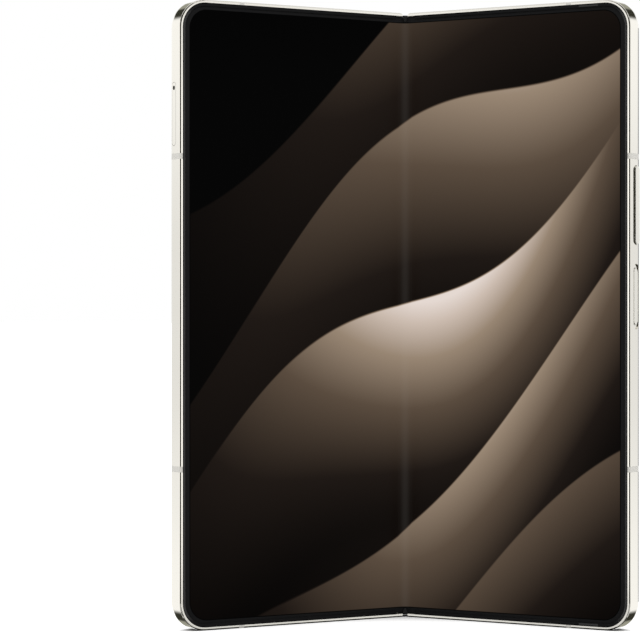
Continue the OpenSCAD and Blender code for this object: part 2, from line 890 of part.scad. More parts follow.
// Small caps that hold down the ends of the crease
module crease_caps() {
  head_t = 0.3;
  head_y = crest_y - seat_gap - head_t;
  stem_half = 0.42;
  top = screen_inset + seat_gap;
  color([0.3, 0.3, 0.31]) hinge_side() for (upper = [0, 1])
    translate([0, 0, upper * body_h]) mirror([0, 0, upper]) {
      slab(head_y, head_t) polygon([
        [-0.55, screen_inset + 0.02], [0.55, screen_inset + 0.02],
        [0.18, screen_inset + 1], [-0.18, screen_inset + 1]
      ]);
      slab(head_y, head_t)
        rect([-stem_half, lip_w + 2 * seat_gap], [stem_half, screen_inset + 0.2]);
      slab(head_y, spine_front_y - head_y)
        rect([-stem_half, lip_w + 2 * seat_gap], [stem_half, screen_inset - seat_gap]);
    }
}

function involute(t) = (tan(t) - t * PI / 180) * 180 / PI;
function roll(base, r) = r > base ? acos(base / r) : 0;

// Half the angle that a tooth takes at radius r; ring teeth widen outward, gear teeth inward
function tooth_half(teeth, pr, r, inward) =
  90 / teeth - (backlash / 4) / pr * 180 / PI
  + (inward ? -1 : 1) * (involute(pressure) - involute(roll(pr * cos(pressure), r)));

// Outline of a gear with its first tooth at the angle turn
module gear_shape(teeth, pr, turn) {
  radii = [for (k = [0 : 3]) pr - dedendum + k * (addendum + dedendum) / 3];
  polygon([
    for (i = [0 : teeth - 1], side = [-1, 1], k = [0 : 3])
      let (r = radii[side < 0 ? k : 3 - k], a = turn + i * 360 / teeth)
      let (b = a + side * tooth_half(teeth, pr, r, false))
      [r * cos(b), r * sin(b)]
  ]);
}

// Inner edge of the left runner's teeth as a shape that is cut out of the runner
module ring_cut(turn) {
  radii = [for (k = [0 : 3]) ring_pr + dedendum - k * (addendum + dedendum) / 3];
  polygon([
    for (i = [0 : ring_teeth - 1], side = [-1, 1], k = [0 : 3])
      let (r = radii[side < 0 ? k : 3 - k], a = turn + i * 360 / ring_teeth)
      let (b = a + side * tooth_half(ring_teeth, ring_pr, r, true))
      [r * cos(b), r * sin(b)]
  ]);
}

// Sector between two angles, drawn about the origin
module sector(a0, a1, r) {
  steps = 4;
  polygon(concat([[0, 0]], [for (k = [0 : steps]) let (a = a0 + k * (a1 - a0) / steps)
    [r * cos(a), r * sin(a)]]));
}

rib_r0 = ring_pr + dedendum + 0.24;
rib_r1 = rib_r0 + 0.18;
rib_h = 0.3;
rib_gap = 0.02;
run_end_gap = 0.06;
sweep_start = 30;
sweep_end = 190;

// A wing with its arc runner, drawn on the cover half's flat position with x outward.
// turn is the angle of one ring tooth with the phone flat, measured as on this half.
module wing(run_z, turn) {
  difference() {
    union() {
      translate([0, 0, run_z + run_end_gap]) linear_extrude(runner_len - 2 * run_end_gap)
        runner_shape(turn);
      translate([axis_x + runner_r - 0.15, wing_y, left_run_z])
        cube([wing_x - axis_x - runner_r + 0.15, wing_t, wing_zone]);
      translate([axis_x + runner_r - 0.9, wing_y, run_z + run_end_gap])
        cube([1, wing_t, runner_len - 2 * run_end_gap]);
    }
    for (z = [run_z + run_end_gap - 1, run_z + runner_len - run_end_gap - rib_h - 0.06])
      translate([axis_x, axis_y, z]) linear_extrude(1 + rib_h + 0.06) difference() {
        circle(rib_r1 + rib_gap);
        circle(rib_r0 - rib_gap);
      }
    wing_screw_places() {
      pin_y(0, 0, wing_y - 1, wing_y + wing_t + 1, screw_r);
      pin_y(0, 0, wing_y - 1, wing_y + 0.3, 2 * screw_r);
    }
  }
}

// Runner's section as (x, y); angles run clockwise from the outward direction on this half
module runner_shape(turn) {
  translate([axis_x, axis_y]) intersection() {
    difference() {
      circle(runner_r);
      ring_cut(turn);
    }
    rotate(180 - sweep_end) sector(0, sweep_end - sweep_start, 2 * runner_r);
    rect([-big, wing_y - axis_y], [big, big]);
  }
}

module cover_wings() {
  color(steel) cover_side() both_modules() wing(left_run_z, 180 - pinion_dir);
}

module camera_wings() {
  color(steel) camera_side() both_modules() wing(right_run_z, far_ring_phase);
}

module wing_screws() {
  both_modules() wing_screw_places() {
    pin_y(0, 0, wing_y + 0.02, wing_y + 0.3, 2 * screw_r);
    pin_y(0, 0, wing_y + 0.2, wing_y + wing_t + 0.7, screw_r);
  }
}

module cover_wing_screws() {
  color([0.4, 0.4, 0.42]) cover_side() wing_screws();
}

module camera_wing_screws() {
  color([0.4, 0.4, 0.42]) camera_side() wing_screws();
}

module spine_screw_places() {
  for (z = [-tab_len / 2, base_len + tab_len / 2]) translate([0, 0, z]) children();
}

// Base of a hinge module: walls between the sections, bores for the shafts, ribs for the runners
module hinge_base() {
  floor_y = axis_y + spine_in_r - 0.7;
  difference() {
    union() {
      linear_extrude(base_len) spine_shape(base_r);
      translate([0, 0, -tab_len]) linear_extrude(base_len + 2 * tab_len) intersection() {
        spine_shape(base_r);
        rect([-1.6, floor_y], [1.6, big]);
      }
    }
    runner_bay(left_run_z, 1);
    runner_bay(right_run_z, 0);
    train_bay();
    clip_bay();
    for (s = [-1, 1]) translate([s * pinion_x, pinion_y, -eps])
      cylinder(h = base_len + 1, r = shaft_r + bore_gap);
    for (s = [-1, 1]) translate([s * idler_x, idler_y, train_z - section_wall * 0.8])
      cylinder(h = train_len + section_wall * 1.6, r = shaft_r + bore_gap);
    spine_screw_places() pin_y(0, 0, 0, big, 0.4);
  }
  runner_ribs(left_run_z, 1);
  runner_ribs(right_run_z, 0);
}

// Room of one arc runner and its pinion; flip = 1 puts it on the left
module runner_bay(z, flip) {
  translate([0, 0, z]) mirror([flip, 0, 0]) {
    linear_extrude(runner_len) difference() {
      translate([axis_x, axis_y]) circle(big);
      translate([axis_x, axis_y]) circle(ring_pr - addendum - 0.1);
      rect([-big, 0], [axis_x - runner_r - 0.35, big]);
    }
    translate([-pinion_x, pinion_y, 0]) cylinder(h = runner_len, r = pinion_tip_r + 0.08);
  }
}

pinion_tip_r = pinion_pr + addendum;
idler_tip_r = idler_pr + addendum;

module train_bay() {
  translate([0, 0, train_z]) {
    for (s = [-1, 1]) {
      translate([s * pinion_x, pinion_y, 0]) cylinder(h = train_len, r = pinion_tip_r + 0.08);
      translate([s * idler_x, idler_y, 0]) cylinder(h = train_len, r = idler_tip_r + 0.08);
    }
    translate([-2, 0, 0]) cube([4, idler_y, train_len]);
  }
}

module clip_bay() {
  translate([-big, 0, clip_z]) cube([2 * big, axis_y + spine_in_r - 0.7, clip_len]);
}

// Arc ribs on both end walls of a runner's bay
module runner_ribs(z, flip) {
  mirror([flip, 0, 0]) for (z0 = [z - eps, z + runner_len - rib_h])
    translate([0, 0, z0]) linear_extrude(rib_h + eps) intersection() {
      translate([axis_x, axis_y]) difference() {
        circle(rib_r1);
        circle(rib_r0);
      }
      spine_shape(base_r);
    }
}

module lower_hinge_base() {
  color([0.5, 0.5, 0.52]) hinge_side() lower_module() hinge_base();
}

module upper_hinge_base() {
  color([0.5, 0.5, 0.52]) hinge_side() upper_module() hinge_base();
}

module spine_screws() {
  color([0.4, 0.4, 0.42]) hinge_side() both_modules() spine_screw_places() {
    floor_y = axis_y + spine_in_r - 0.7;
    pin_y(0, 0, floor_y - 0.5, floor_y, 0.75);
    pin_y(0, 0, floor_y - 0.2, axis_y + spine_in_r + 0.28, 0.38);
  }
}

// Clips that squeeze both pinion shafts and hold the phone at any angle
module friction_clips() {
  arm = 0.45;
  clip_gap = 0.01;
  reach = -pinion_x;
  color([0.62, 0.6, 0.5]) hinge_side() both_modules()
    translate([0, 0, clip_z + 0.3]) linear_extrude(clip_len - 0.6) difference() {
      union() {
        for (s = [-1, 1]) translate([s * reach, pinion_y]) circle(shaft_r + arm);
        rect([-reach, pinion_y + 0.1], [reach, pinion_y + 0.1 + arm]);
      }
      for (s = [-1, 1]) {
        translate([s * reach, pinion_y]) circle(shaft_r + clip_gap);
        translate([s * reach - 0.15, pinion_y - 2]) square([0.3, 2]);
      }
    }
}

// Pinion: one set of teeth in its runner's bay, one in the train, on one shaft
module pinion(run_z, turn) {
  play = 0.1;
  for (span = [[run_z, runner_len], [train_z, train_len]])
    translate([0, 0, span[0] + play]) linear_extrude(span[1] - 2 * play)
      gear_shape(pinion_teeth, pinion_pr, turn);
  translate([0, 0, play]) cylinder(h = base_len - 2 * play, r = shaft_r);
}

module idler(turn) {
  play = 0.1;
  translate([0, 0, train_z + play]) linear_extrude(train_len - 2 * play)
    gear_shape(idler_teeth, idler_pr, turn);
  translate([0, 0, train_z - section_wall * 0.7])
    cylinder(h = train_len + section_wall * 1.4, r = shaft_r);
}

module left_pinions() {
  turn = pinion_phase + rest_turn * ring_teeth / pinion_teeth;
  color([0.8, 0.7, 0.4]) hinge_side() both_modules()
    translate([pinion_x, pinion_y, 0]) pinion(left_run_z, turn);
}

module right_pinions() {
  turn = far_pinion_phase - rest_turn * ring_teeth / pinion_teeth;
  color([0.8, 0.7, 0.4]) hinge_side() both_modules()
    translate([-pinion_x, pinion_y, 0]) pinion(right_run_z, turn);
}

module left_idlers() {
  turn = idler_phase - rest_turn * ring_teeth / idler_teeth;
  color([0.7, 0.7, 0.72]) hinge_side() both_modules()
    translate([idler_x, idler_y, 0]) idler(turn);
}

module right_idlers() {
  turn = far_idler_phase + rest_turn * ring_teeth / idler_teeth;
  color([0.7, 0.7, 0.72]) hinge_side() both_modules()
    translate([-idler_x, idler_y, 0]) idler(turn);
}

// ---------------------------------------------------------------- inner pieces

module cover_antenna_bands() {
  color(band_ivory) cover_side() antenna_bands();
}

module camera_antenna_bands() {
  color(band_ivory) camera_side() antenna_bands();
}

selfie_x = half_w / 2 + 1;
selfie_z = body_h - 8;
panel_t = 0.65;
panel_inset = ledge_w + 0.6;
panel_x0 = axis_x + pocket_r + fold_wall_t + 1.2;

module cover_display_panel() {
  color([0.1, 0.1, 0.12]) cover_side() difference() {
    slab(glass_y - 0.05 - panel_t, panel_t) outline(panel_inset, panel_x0);
    pin_y(selfie_x, selfie_z, 0, half_t, 2.4);
  }
}

module selfie_camera() {
  color([0.1, 0.1, 0.12]) cover_side() {
    pin_y(selfie_x, selfie_z, cavity_y + 1.5, glass_y - 0.1, 2.2);
    translate([selfie_x - 3.4, cavity_y + 0.1, selfie_z - 3.4]) cube([6.8, 1.5, 6.8]);
  }
}

// Pouch cell with its protection strip at one end
module battery(x0, x1, z0, z1, back_y) {
  slab(battery_y, back_y - battery_y) translate([x0, z0]) round_rect([x1 - x0, z1 - z0 - 3], 1);
  translate([x0 + 2, battery_y + 0.4, z1 - 3 - eps]) cube([x1 - x0 - 4, 1.4, 3]);
}

battery_x0 = wing_x + 2;
battery_x1 = half_w - wall_t - 3.6;
battery_z0 = 0.194 * body_h;
battery_z1 = body_h - camera_zone - 4;
cover_cell_z0 = 0.245 * body_h;

module cover_battery() {
  back_y = glass_y - panel_t - 0.2;
  color(cell_black) cover_side()
    battery(battery_x0, battery_x1, cover_cell_z0, body_h - tray_top - tray_l - 5, back_y);
}

module camera_battery() {
  color(cell_black) camera_side()
    battery(battery_x0, battery_x1, battery_z0, battery_z1, battery_back_y);
}

// Second board: beside the card reader and round the selfie camera
module cover_board() {
  reader_x = half_w - tray_depth - 1.5;
  color(board_green) cover_side() difference() {
    slab(board_y, board_t) union() {
      rect([battery_x0, body_h - 34], [reader_x, body_h - 14]);
      rect([battery_x0, body_h - 16], [half_w - 10, body_h - 4]);
    }
    pin_y(selfie_x, selfie_z, 0, half_t, 5);
  }
}

module top_speaker() {
  color([0.2, 0.2, 0.21]) cover_side()
    slab(cavity_y + 1.3, 1.9) translate([half_w - 26, body_h - 8.6]) round_rect([14, 6.4], 1);
}

module bottom_speaker() {
  color([0.2, 0.2, 0.21]) camera_side()
    slab(cavity_y + 0.1, 3.2) translate([half_w - 26, 2.3]) round_rect([17, 18], 1.5);
}

module vibration_motor() {
  color(steel) camera_side()
    slab(cavity_y + 0.1, 3) translate([battery_x0 + 1, 16]) round_rect([9, 11], 0.8);
}

module main_board() {
  color(board_green) camera_side() difference() {
    slab(board_y, board_t) union() {
      rect([battery_x0, body_h - camera_zone], [board_x1, body_h - 4]);
      rect([board_x1 - 4, body_h - camera_zone], [half_w - 6, body_h - camera_zone + 3.6]);
    }
    for (z = [body_h - camera_zone + 2, body_h - 6]) pin_y(battery_x0 + 2, z, 0, half_t, 0.8);
  }
}

board_x1 = island_x - barrel_r - 1;

// Stamped can over the processor, with cooling pads' windows left plain
module shield_can() {
  can_t = 0.2;
  x0 = battery_x0 + 3;
  z0 = body_h - camera_zone + 6;
  size = [board_x1 - x0 - 3, body_h - flash_top - 0.6 - z0];
  color(steel) camera_side() difference() {
    slab(board_back_y, 1.8) translate([x0, z0]) round_rect(size, 1);
    slab(board_back_y - 1, 1 + 1.8 - can_t)
      translate([x0 + can_t, z0 + can_t]) round_rect(size - [2 * can_t, 2 * can_t], 0.8);
    slab(board_back_y + 1, 2) translate([x0 + 3, z0 + 4]) rect([0, 0], [5, 6]);
  }
}

module charging_coil() {
  coil_x = (battery_x0 + battery_x1) / 2;
  coil_z = (battery_z0 + battery_z1) / 2;
  coil_r = (battery_x1 - battery_x0) / 2 - 0.8;
  color([0.75, 0.42, 0.2]) camera_side() difference() {
    pin_y(coil_x, coil_z, battery_back_y + 0.1, battery_back_y + 0.4, coil_r);
    pin_y(coil_x, coil_z, battery_back_y - 1, glass_y, coil_r / 2);
  }
}

module usb_hole(w, h, z0, z1) {
  translate([usb_x, side_y, z0]) linear_extrude(z1 - z0) rotate(90) slot(w, h);
}

module usb_port() {
  shell_t = 0.3;
  color(steel) camera_side() {
    difference() {
      usb_hole(usb_w, usb_h, 0.2, usb_depth);
      usb_hole(usb_w - 2 * shell_t, usb_h - 2 * shell_t, -1, usb_depth - 1);
    }
    translate([usb_x - 3.3, side_y - 0.35, 1]) cube([6.6, 0.7, usb_depth - 1.5]);
  }
}

// Magnets along the outer side that hold the phone shut
module magnets() {
  power_z0 = body_h - power_top - power_l;
  for (z = [0.08 * body_h, 0.17 * body_h, power_z0 - magnet_l - 8])
    translate([half_w - wall_t - 2.2, cavity_y + 0.05, z]) cube([2, 2.2, magnet_l]);
}

magnet_l = 9;

module cover_magnets() {
  color([0.55, 0.56, 0.58]) cover_side() magnets();
}

module camera_magnets() {
  color([0.55, 0.56, 0.58]) camera_side() magnets();
}

// ---------------------------------------------------------------- nodes

spine_cover();
spine_end_caps();
upper_hinge_base();
lower_hinge_base();
friction_clips();
spine_screws();
crease_caps();
main_display_fold();
hinge_flex_cables();
cover_frame();
cover_antenna_bands();
cover_bezel();
main_display_left();
cover_screen_plate();
cover_glass();
cover_display_panel();
selfie_camera();
cover_battery();
cover_board();
card_reader();
top_speaker();
cover_wings();
cover_wing_screws();
cover_magnets();
card_tray();
camera_frame();
camera_antenna_bands();
camera_bezel();
main_display_right();
camera_screen_plate();
back_glass();
camera_housing();
lens_rings();
lens_glasses();
camera_modules();
camera_elements();
flash_window();
flash_led();
charging_coil();
camera_battery();
main_board();
shield_can();
usb_port();
bottom_speaker();
vibration_motor();
key_switches();
camera_wings();
camera_wing_screws();
camera_magnets();
bezel_pads();
volume_key();
power_key();
left_pinions();
right_pinions();
left_idlers();
right_idlers();
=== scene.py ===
"""Foldable smartphone: finishes, lit screen, lens and port details, studio and camera."""

import json
import logging
import math
from dataclasses import dataclass, field
from enum import Enum
from typing import Callable, Sequence

import bmesh
import bpy
from mathutils import Matrix, Vector


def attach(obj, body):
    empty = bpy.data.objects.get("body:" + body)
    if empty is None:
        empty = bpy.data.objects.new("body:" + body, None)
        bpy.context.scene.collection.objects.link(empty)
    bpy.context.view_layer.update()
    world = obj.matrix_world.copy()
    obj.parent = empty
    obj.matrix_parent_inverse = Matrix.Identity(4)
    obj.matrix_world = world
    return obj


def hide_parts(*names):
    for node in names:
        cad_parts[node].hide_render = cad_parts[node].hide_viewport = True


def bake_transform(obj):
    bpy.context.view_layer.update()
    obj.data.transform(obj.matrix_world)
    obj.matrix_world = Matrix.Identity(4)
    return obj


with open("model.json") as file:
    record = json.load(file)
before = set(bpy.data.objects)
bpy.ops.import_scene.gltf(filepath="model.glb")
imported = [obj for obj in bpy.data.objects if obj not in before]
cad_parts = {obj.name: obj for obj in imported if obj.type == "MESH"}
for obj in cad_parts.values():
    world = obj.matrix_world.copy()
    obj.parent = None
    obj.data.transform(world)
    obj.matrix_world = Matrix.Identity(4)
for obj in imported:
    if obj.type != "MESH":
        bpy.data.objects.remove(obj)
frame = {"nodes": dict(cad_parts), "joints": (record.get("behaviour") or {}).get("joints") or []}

logging.basicConfig(level=logging.INFO, format="%(name)s: %(message)s")
log = logging.getLogger("phone")

MM = 0.001
MADE: dict[str, bpy.types.Material] = {}
IMAGE_W = 640
IMAGE_H = 633
# One half's width, the phone's height and its outline radius, in millimetres.
HALF_W = 64.95
BODY_H = 154.9
OUTLINE_R = 7.0
# The handled gloss fades in between these distances from mid-height, in millimetres.
WORN_FROM = 75.6
WORN_TO = 73.0
# Millimetres to one unit of the screen's flat map.
FLAT_UNIT = 100.0
SHARP_ANGLE = math.radians(40.0)


# ---------------------------------------- frame facts


class Side(Enum):
    """The two halves of the phone, by the sign of X on the open phone."""

    COVER = -1
    CAMERA = 1

    @property
    def body(self) -> str:
        """Name of the CAD body of this half."""
        return "cover_half" if self is Side.COVER else "camera_half"


@dataclass(frozen=True)
class Fold:
    """Where the halves turn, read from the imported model's main joint.

    Attributes:
        axis_x: Distance of each fold axis from the middle plane, in metres.
        axis_y: The fold axes' Y in the row frame.
        turn: Angle of each half from flat at rest, in radians.
        depth: Depth of the fold axes behind the screen's surface.
    """

    axis_x: float
    axis_y: float
    turn: float
    depth: float = 1.2 * MM

    @classmethod
    def read(cls) -> "Fold":
        """Reads the fold from the joint that the others follow."""
        joint = next(j for j in frame["joints"] if j["name"] == "left_fold")
        return cls(-joint["pos_m"][0], joint["pos_m"][1], -math.radians(joint["range_deg"][0]))

    def place(self, side: Side, x: float, y: float, z: float) -> Vector:
        """Puts a point of a flat half where it is at rest.

        Args:
            side: Which half.
            x: Distance outward from the fold.
            y: Depth behind the screen's surface.
            z: Height.

        Returns:
            The point in the row frame, in metres.
        """
        dx, dy = x - self.axis_x, y - self.depth
        c, s = math.cos(self.turn), math.sin(self.turn)
        return Vector((side.value * (self.axis_x + dx * c + dy * s),
                       self.axis_y - dx * s + dy * c, z))

    def matrix(self, side: Side) -> Matrix:
        """Carries a mesh drawn on the flat half to its place at rest."""
        origin = self.place(side, 0, 0, 0)
        ends = [self.place(side, *p) for p in ((1, 0, 0), (0, 1, 0), (0, 0, 1))]
        basis = Matrix([end - origin for end in ends]).transposed()
        return Matrix.Translation(origin) @ basis.to_4x4()


# ---------------------------------------- node helpers


class Wires:
    """Short calls that add and link nodes in one tree."""

    def __init__(self, tree: bpy.types.NodeTree) -> None:
        """Keeps the tree.

        Args:
            tree: The material's, world's or group's tree.
        """
        self.tree = tree

    def add(self, kind: str, inputs: dict[str, object] | None = None,
            **settings: object) -> bpy.types.Node:
        """Adds a node.

        Args:
            kind: Blender's name of the node.
            inputs: Value or socket for each input that is given.
            settings: The node's properties.

        Returns:
            The node.
        """
        node = self.tree.nodes.new(kind)
        for name, value in settings.items():
            setattr(node, name, value)
        self.feed(node, inputs or {})
        return node

    def feed(self, node: bpy.types.Node, inputs: dict[str, object]) -> None:
        """Links or sets a node's inputs by name."""
        for name, value in inputs.items():
            self.link(value, node.inputs[name])

    def link(self, source: object, target: bpy.types.NodeSocket) -> None:
        """Links a socket to a socket, or sets the target's own value."""
        if isinstance(source, bpy.types.NodeSocket):
            self.tree.links.new(source, target)
        else:
            target.default_value = source

    def split(self, vector: bpy.types.NodeSocket) -> Sequence[bpy.types.NodeSocket]:
        """Sockets of a vector's three parts."""
        return self.add("ShaderNodeSeparateXYZ", {"Vector": vector}).outputs

    def math(self, operation: str, a: object, b: object = 0.0, clamp: bool = False) -> object:
        """One math node.

        Args:
            operation: Blender's name of the operation.
            a: First value or socket.
            b: Second value or socket, where the operation has one.
            clamp: Whether the result is held between 0 and 1.

        Returns:
            The result's socket.
        """
        node = self.add("ShaderNodeMath", operation=operation, use_clamp=clamp)
        self.link(a, node.inputs[0])
        self.link(b, node.inputs[1])
        return node.outputs[0]

    def times(self, first: object, *others: object) -> object:
        """Product of values."""
        for other in others:
            first = self.math("MULTIPLY", first, other)
        return first

    def smooth(self, value: object, low: object, high: object) -> object:
        """Smooth step from 0 at low to 1 at high."""
        node = self.add("ShaderNodeMapRange", {"Value": value, "From Min": low, "From Max": high},
                        interpolation_type="SMOOTHSTEP")
        return node.outputs["Result"]

    def window(self, *steps: tuple[object, float, float]) -> object:
        """Product of smooth steps.

        Args:
            steps: For each step its value, where it is 0 and where it is 1.

        Returns:
            The mask's socket.
        """
        return self.times(*(self.smooth(*step) for step in steps))

    def mix(self, factor: object, a: object, b: object) -> object:
        """Mixes two colours."""
        node = self.add("ShaderNodeMix", {"Factor": factor, "A": a, "B": b}, data_type="RGBA")
        return node.outputs["Result"]

    def ramp(self, value: object, stops: Sequence[tuple[float, tuple[float, ...]]]) -> object:
        """Colour ramp through the given stops."""
        node = self.add("ShaderNodeValToRGB")
        ramp = node.color_ramp
        while len(ramp.elements) < len(stops):
            ramp.elements.new(0.5)
        for element, (position, colour) in zip(ramp.elements, stops):
            element.position = position
            element.color = (*colour[:3], 1.0)
        self.link(value, node.inputs["Fac"])
        return node.outputs["Color"]

    def noise(self, scale: object, detail: float = 2.0) -> object:
        """Noise value between 0 and 1 in the piece's own space."""
        inputs = {"Vector": self.object_coordinates(), "Scale": scale, "Detail": detail}
        return self.add("ShaderNodeTexNoise", inputs).outputs["Fac"]

    def object_coordinates(self) -> bpy.types.NodeSocket:
        """Object coordinates of the piece."""
        return self.add("ShaderNodeTexCoord").outputs["Object"]


def grey(level: float) -> tuple[float, float, float, float]:
    """A neutral colour."""
    return level, level, level, 1.0


WHITE = grey(1.0)
DARK_ROOM = (0.035, 0.035, 0.026, 1.0)
FAR_SCREEN = (0.08, 0.08, 0.075, 1.0)
HALF_DARK = (0.34, 0.34, 0.28, 1.0)
# Painted shade: the dark colour that polished metal sees in the floor where it nearly touches it.
PAINTED_CONTACT_SHADE = (0.03, 0.03, 0.025, 1.0)
# Name, place, size and power of each lamp.
LAMPS = (("key_lamp", (-0.9, -0.5, 0.8), (0.6, 0.9), 3.0),
         ("fill_lamp", (0.9, -0.5, 0.6), (0.6, 0.9), 2.5),
         ("back_lamp", (0.0, 0.7, 1.1), (1.2, 0.6), 3.5))


class Surface:
    """A look that is built as a material on its first use."""

    name: str

    def material(self) -> bpy.types.Material:
        """Builds the material, or returns it if it is built."""
        if self.name not in MADE:
            MADE[self.name] = bpy.data.materials.new(self.name)
            MADE[self.name].use_nodes = True
            tree = MADE[self.name].node_tree
            self.fill(Wires(tree), tree.nodes["Principled BSDF"])
        return MADE[self.name]

    def fill(self, w: Wires, shader: bpy.types.Node) -> None:
        """Sets up the material.

        Args:
            w: Wires of the material.
            shader: Its main shader.
        """
        raise NotImplementedError


def shader_group(name: str, inputs: dict[str, float], outputs: Sequence[str],
                 build: Callable[[Wires, bpy.types.Node, bpy.types.Node], None]
                 ) -> bpy.types.NodeTree:
    """Makes a shader node group once.

    Args:
        name: Name of the group.
        inputs: Float inputs with their defaults.
        outputs: Names of the float outputs.
        build: Fills the group, given its wires, input node and output node.

    Returns:
        The group's tree.
    """
    if name in bpy.data.node_groups:
        return bpy.data.node_groups[name]
    tree = bpy.data.node_groups.new(name, "ShaderNodeTree")
    for label, default in inputs.items():
        socket = tree.interface.new_socket(label, in_out="INPUT", socket_type="NodeSocketFloat")
        socket.default_value = default
    for label in outputs:
        tree.interface.new_socket(label, in_out="OUTPUT", socket_type="NodeSocketFloat")
    w = Wires(tree)
    build(w, w.add("NodeGroupInput"), w.add("NodeGroupOutput"))
    return tree


def handling_group() -> bpy.types.NodeTree:
    """Faint smudges and fine grain: varies roughness and gives a soft bump height."""

    def build(w: Wires, source: bpy.types.Node, out: bpy.types.Node) -> None:
        """Fills the group."""
        given = source.outputs
        smudge = w.math("SUBTRACT", w.noise(60.0, 3.0), 0.5)
        grain = w.noise(given["Grain Scale"])
        fine = w.times(w.math("SUBTRACT", grain, 0.5), given["Grain"])
        both = w.math("ADD", w.times(smudge, given["Smudge"]), fine)
        w.feed(out, {"Roughness": w.math("ADD", given["Roughness"], both, clamp=True),
                     "Height": grain})

    return shader_group(
        "handling", {"Roughness": 0.3, "Smudge": 0.05, "Grain": 0.0, "Grain Scale": 3000.0},
        ("Roughness", "Height"), build)


def tint_group() -> bpy.types.NodeTree:
    """Cloudy variation between two shades of one colour."""

    def build(w: Wires, source: bpy.types.Node, out: bpy.types.Node) -> None:
        """Fills the group."""
        cloud = w.noise(source.outputs["Scale"])
        w.link(w.math("MULTIPLY", cloud, source.outputs["Amount"], clamp=True), out.inputs["Mask"])

    return shader_group("tint", {"Scale": 40.0, "Amount": 1.0}, ("Mask",), build)


# ---------------------------------------- finishes


@dataclass(frozen=True)
class Finish(Surface):
    """A finish with two close shades, smudges, grain and optional coat.

    Attributes:
        name: Name of the material.
        colour: Main colour, linear.
        shade: Second colour that clouds into the first.
        metallic: 1 for bare metal.
        roughness: Base roughness.
        smudge: Swing of the roughness over some millimetres.
        grain: Swing of the roughness at the grain's scale.
        grain_scale: Frequency of the grain, per metre.
        bump: Height of the grain, in metres.
        coat: Weight of the clear coat.
        specular: Specular level.
        edge: Radius of the softened edges, in metres.
        worn: Weight of the gloss that handling leaves along the phone's long sides.
    """

    name: str
    colour: tuple[float, float, float]
    shade: tuple[float, float, float]
    metallic: float = 0.0
    roughness: float = 0.4
    smudge: float = 0.05
    grain: float = 0.0
    grain_scale: float = 3000.0
    bump: float = 0.0
    coat: float = 0.0
    specular: float = 0.5
    edge: float = 0.0
    worn: float = 0.0

    def fill(self, w: Wires, shader: bpy.types.Node) -> None:
        """Sets up the material."""
        tint = w.add("ShaderNodeGroup", node_tree=tint_group())
        hand = w.add("ShaderNodeGroup", node_tree=handling_group())
        w.feed(hand, {"Roughness": self.roughness, "Smudge": self.smudge, "Grain": self.grain,
                      "Grain Scale": self.grain_scale})
        w.feed(shader, {
            "Metallic": self.metallic, "Coat Weight": self.coat, "Coat Roughness": 0.03,
            "Specular IOR Level": self.specular, "Roughness": hand.outputs["Roughness"],
            "Base Color": w.mix(tint.outputs["Mask"], (*self.colour, 1), (*self.shade, 1)),
        })
        if self.worn:
            height = w.split(w.object_coordinates())[2]
            off = w.math("ABSOLUTE", w.math("SUBTRACT", height, BODY_H / 2 * MM))
            mask = w.smooth(off, WORN_FROM * MM, WORN_TO * MM)
            w.feed(shader, {"Coat Roughness": 0.35,
                            "Coat Weight": w.times(mask, self.worn)})
        if self.edge:
            bevel = w.add("ShaderNodeBevel", {"Radius": self.edge}, samples=4)
            w.link(bevel.outputs["Normal"], shader.inputs["Normal"])
        if self.bump:
            bump = w.add("ShaderNodeBump", {"Distance": self.bump,
                                            "Height": hand.outputs["Height"]})
            if self.edge:
                w.link(bevel.outputs["Normal"], bump.inputs["Normal"])
            w.link(bump.outputs["Normal"], shader.inputs["Normal"])


POLISHED = Finish("polished_frame", (0.88, 0.857, 0.79), (0.84, 0.815, 0.745), metallic=1.0,
                  roughness=0.09, smudge=0.03)
SATIN_KEY = Finish("satin_key", (0.86, 0.84, 0.775), (0.82, 0.80, 0.73), metallic=1.0,
                   roughness=0.14, edge=0.08 * MM)
BAND = Finish("antenna_band", (0.64, 0.625, 0.58), (0.60, 0.585, 0.54), roughness=0.38,
              grain=0.08, bump=0.002 * MM)
RUBBER = Finish("soft_bezel_rubber", (0.0085, 0.0085, 0.0088), (0.0105, 0.0105, 0.0108),
                roughness=0.42, grain=0.1, bump=0.003 * MM, specular=0.03, worn=1.0)
# Painted shade: black finish of the strip that stands in for the shaded gap at the lip.
GAP_SHADE = Finish("gap_shade_black", (0.002, 0.002, 0.002), (0.003, 0.003, 0.003), roughness=0.6,
              grain=0.1, specular=0.02)
CAP = Finish("crease_cap", (0.010, 0.010, 0.010), (0.014, 0.014, 0.014), roughness=0.42,
             grain=0.08, bump=0.003 * MM, edge=0.05 * MM)
HINGE_CAP = Finish("hinge_end_cap", (0.03, 0.03, 0.032), (0.045, 0.045, 0.046), roughness=0.4,
                   grain=0.08, bump=0.003 * MM)
CREAM_GLASS = Finish("cream_glass", (0.90, 0.87, 0.81), (0.88, 0.845, 0.785), roughness=0.26,
                     smudge=0.04, coat=1.0, edge=0.05 * MM)
HOUSING = Finish("camera_housing_paint", (0.86, 0.835, 0.775), (0.83, 0.80, 0.74), metallic=0.8,
                 roughness=0.3, smudge=0.05, coat=0.3, edge=0.1 * MM)
BLACK_GLASS = Finish("dark_cover_glass", (0.003, 0.003, 0.0035), (0.005, 0.005, 0.006),
                     roughness=0.06, smudge=0.03, specular=0.18)
STEEL = Finish("brushed_steel", (0.42, 0.43, 0.45), (0.5, 0.5, 0.51), metallic=1.0,
               roughness=0.35, grain=0.2, grain_scale=5000.0, edge=0.03 * MM)
BRASS = Finish("brass_gear", (0.68, 0.5, 0.2), (0.6, 0.44, 0.18), metallic=1.0, roughness=0.3)
FLEX = Finish("flex_film", (0.5, 0.2, 0.03), (0.42, 0.16, 0.025), roughness=0.35, coat=0.3)
BOARD = Finish("board_green", (0.015, 0.07, 0.035), (0.02, 0.09, 0.05), roughness=0.45)
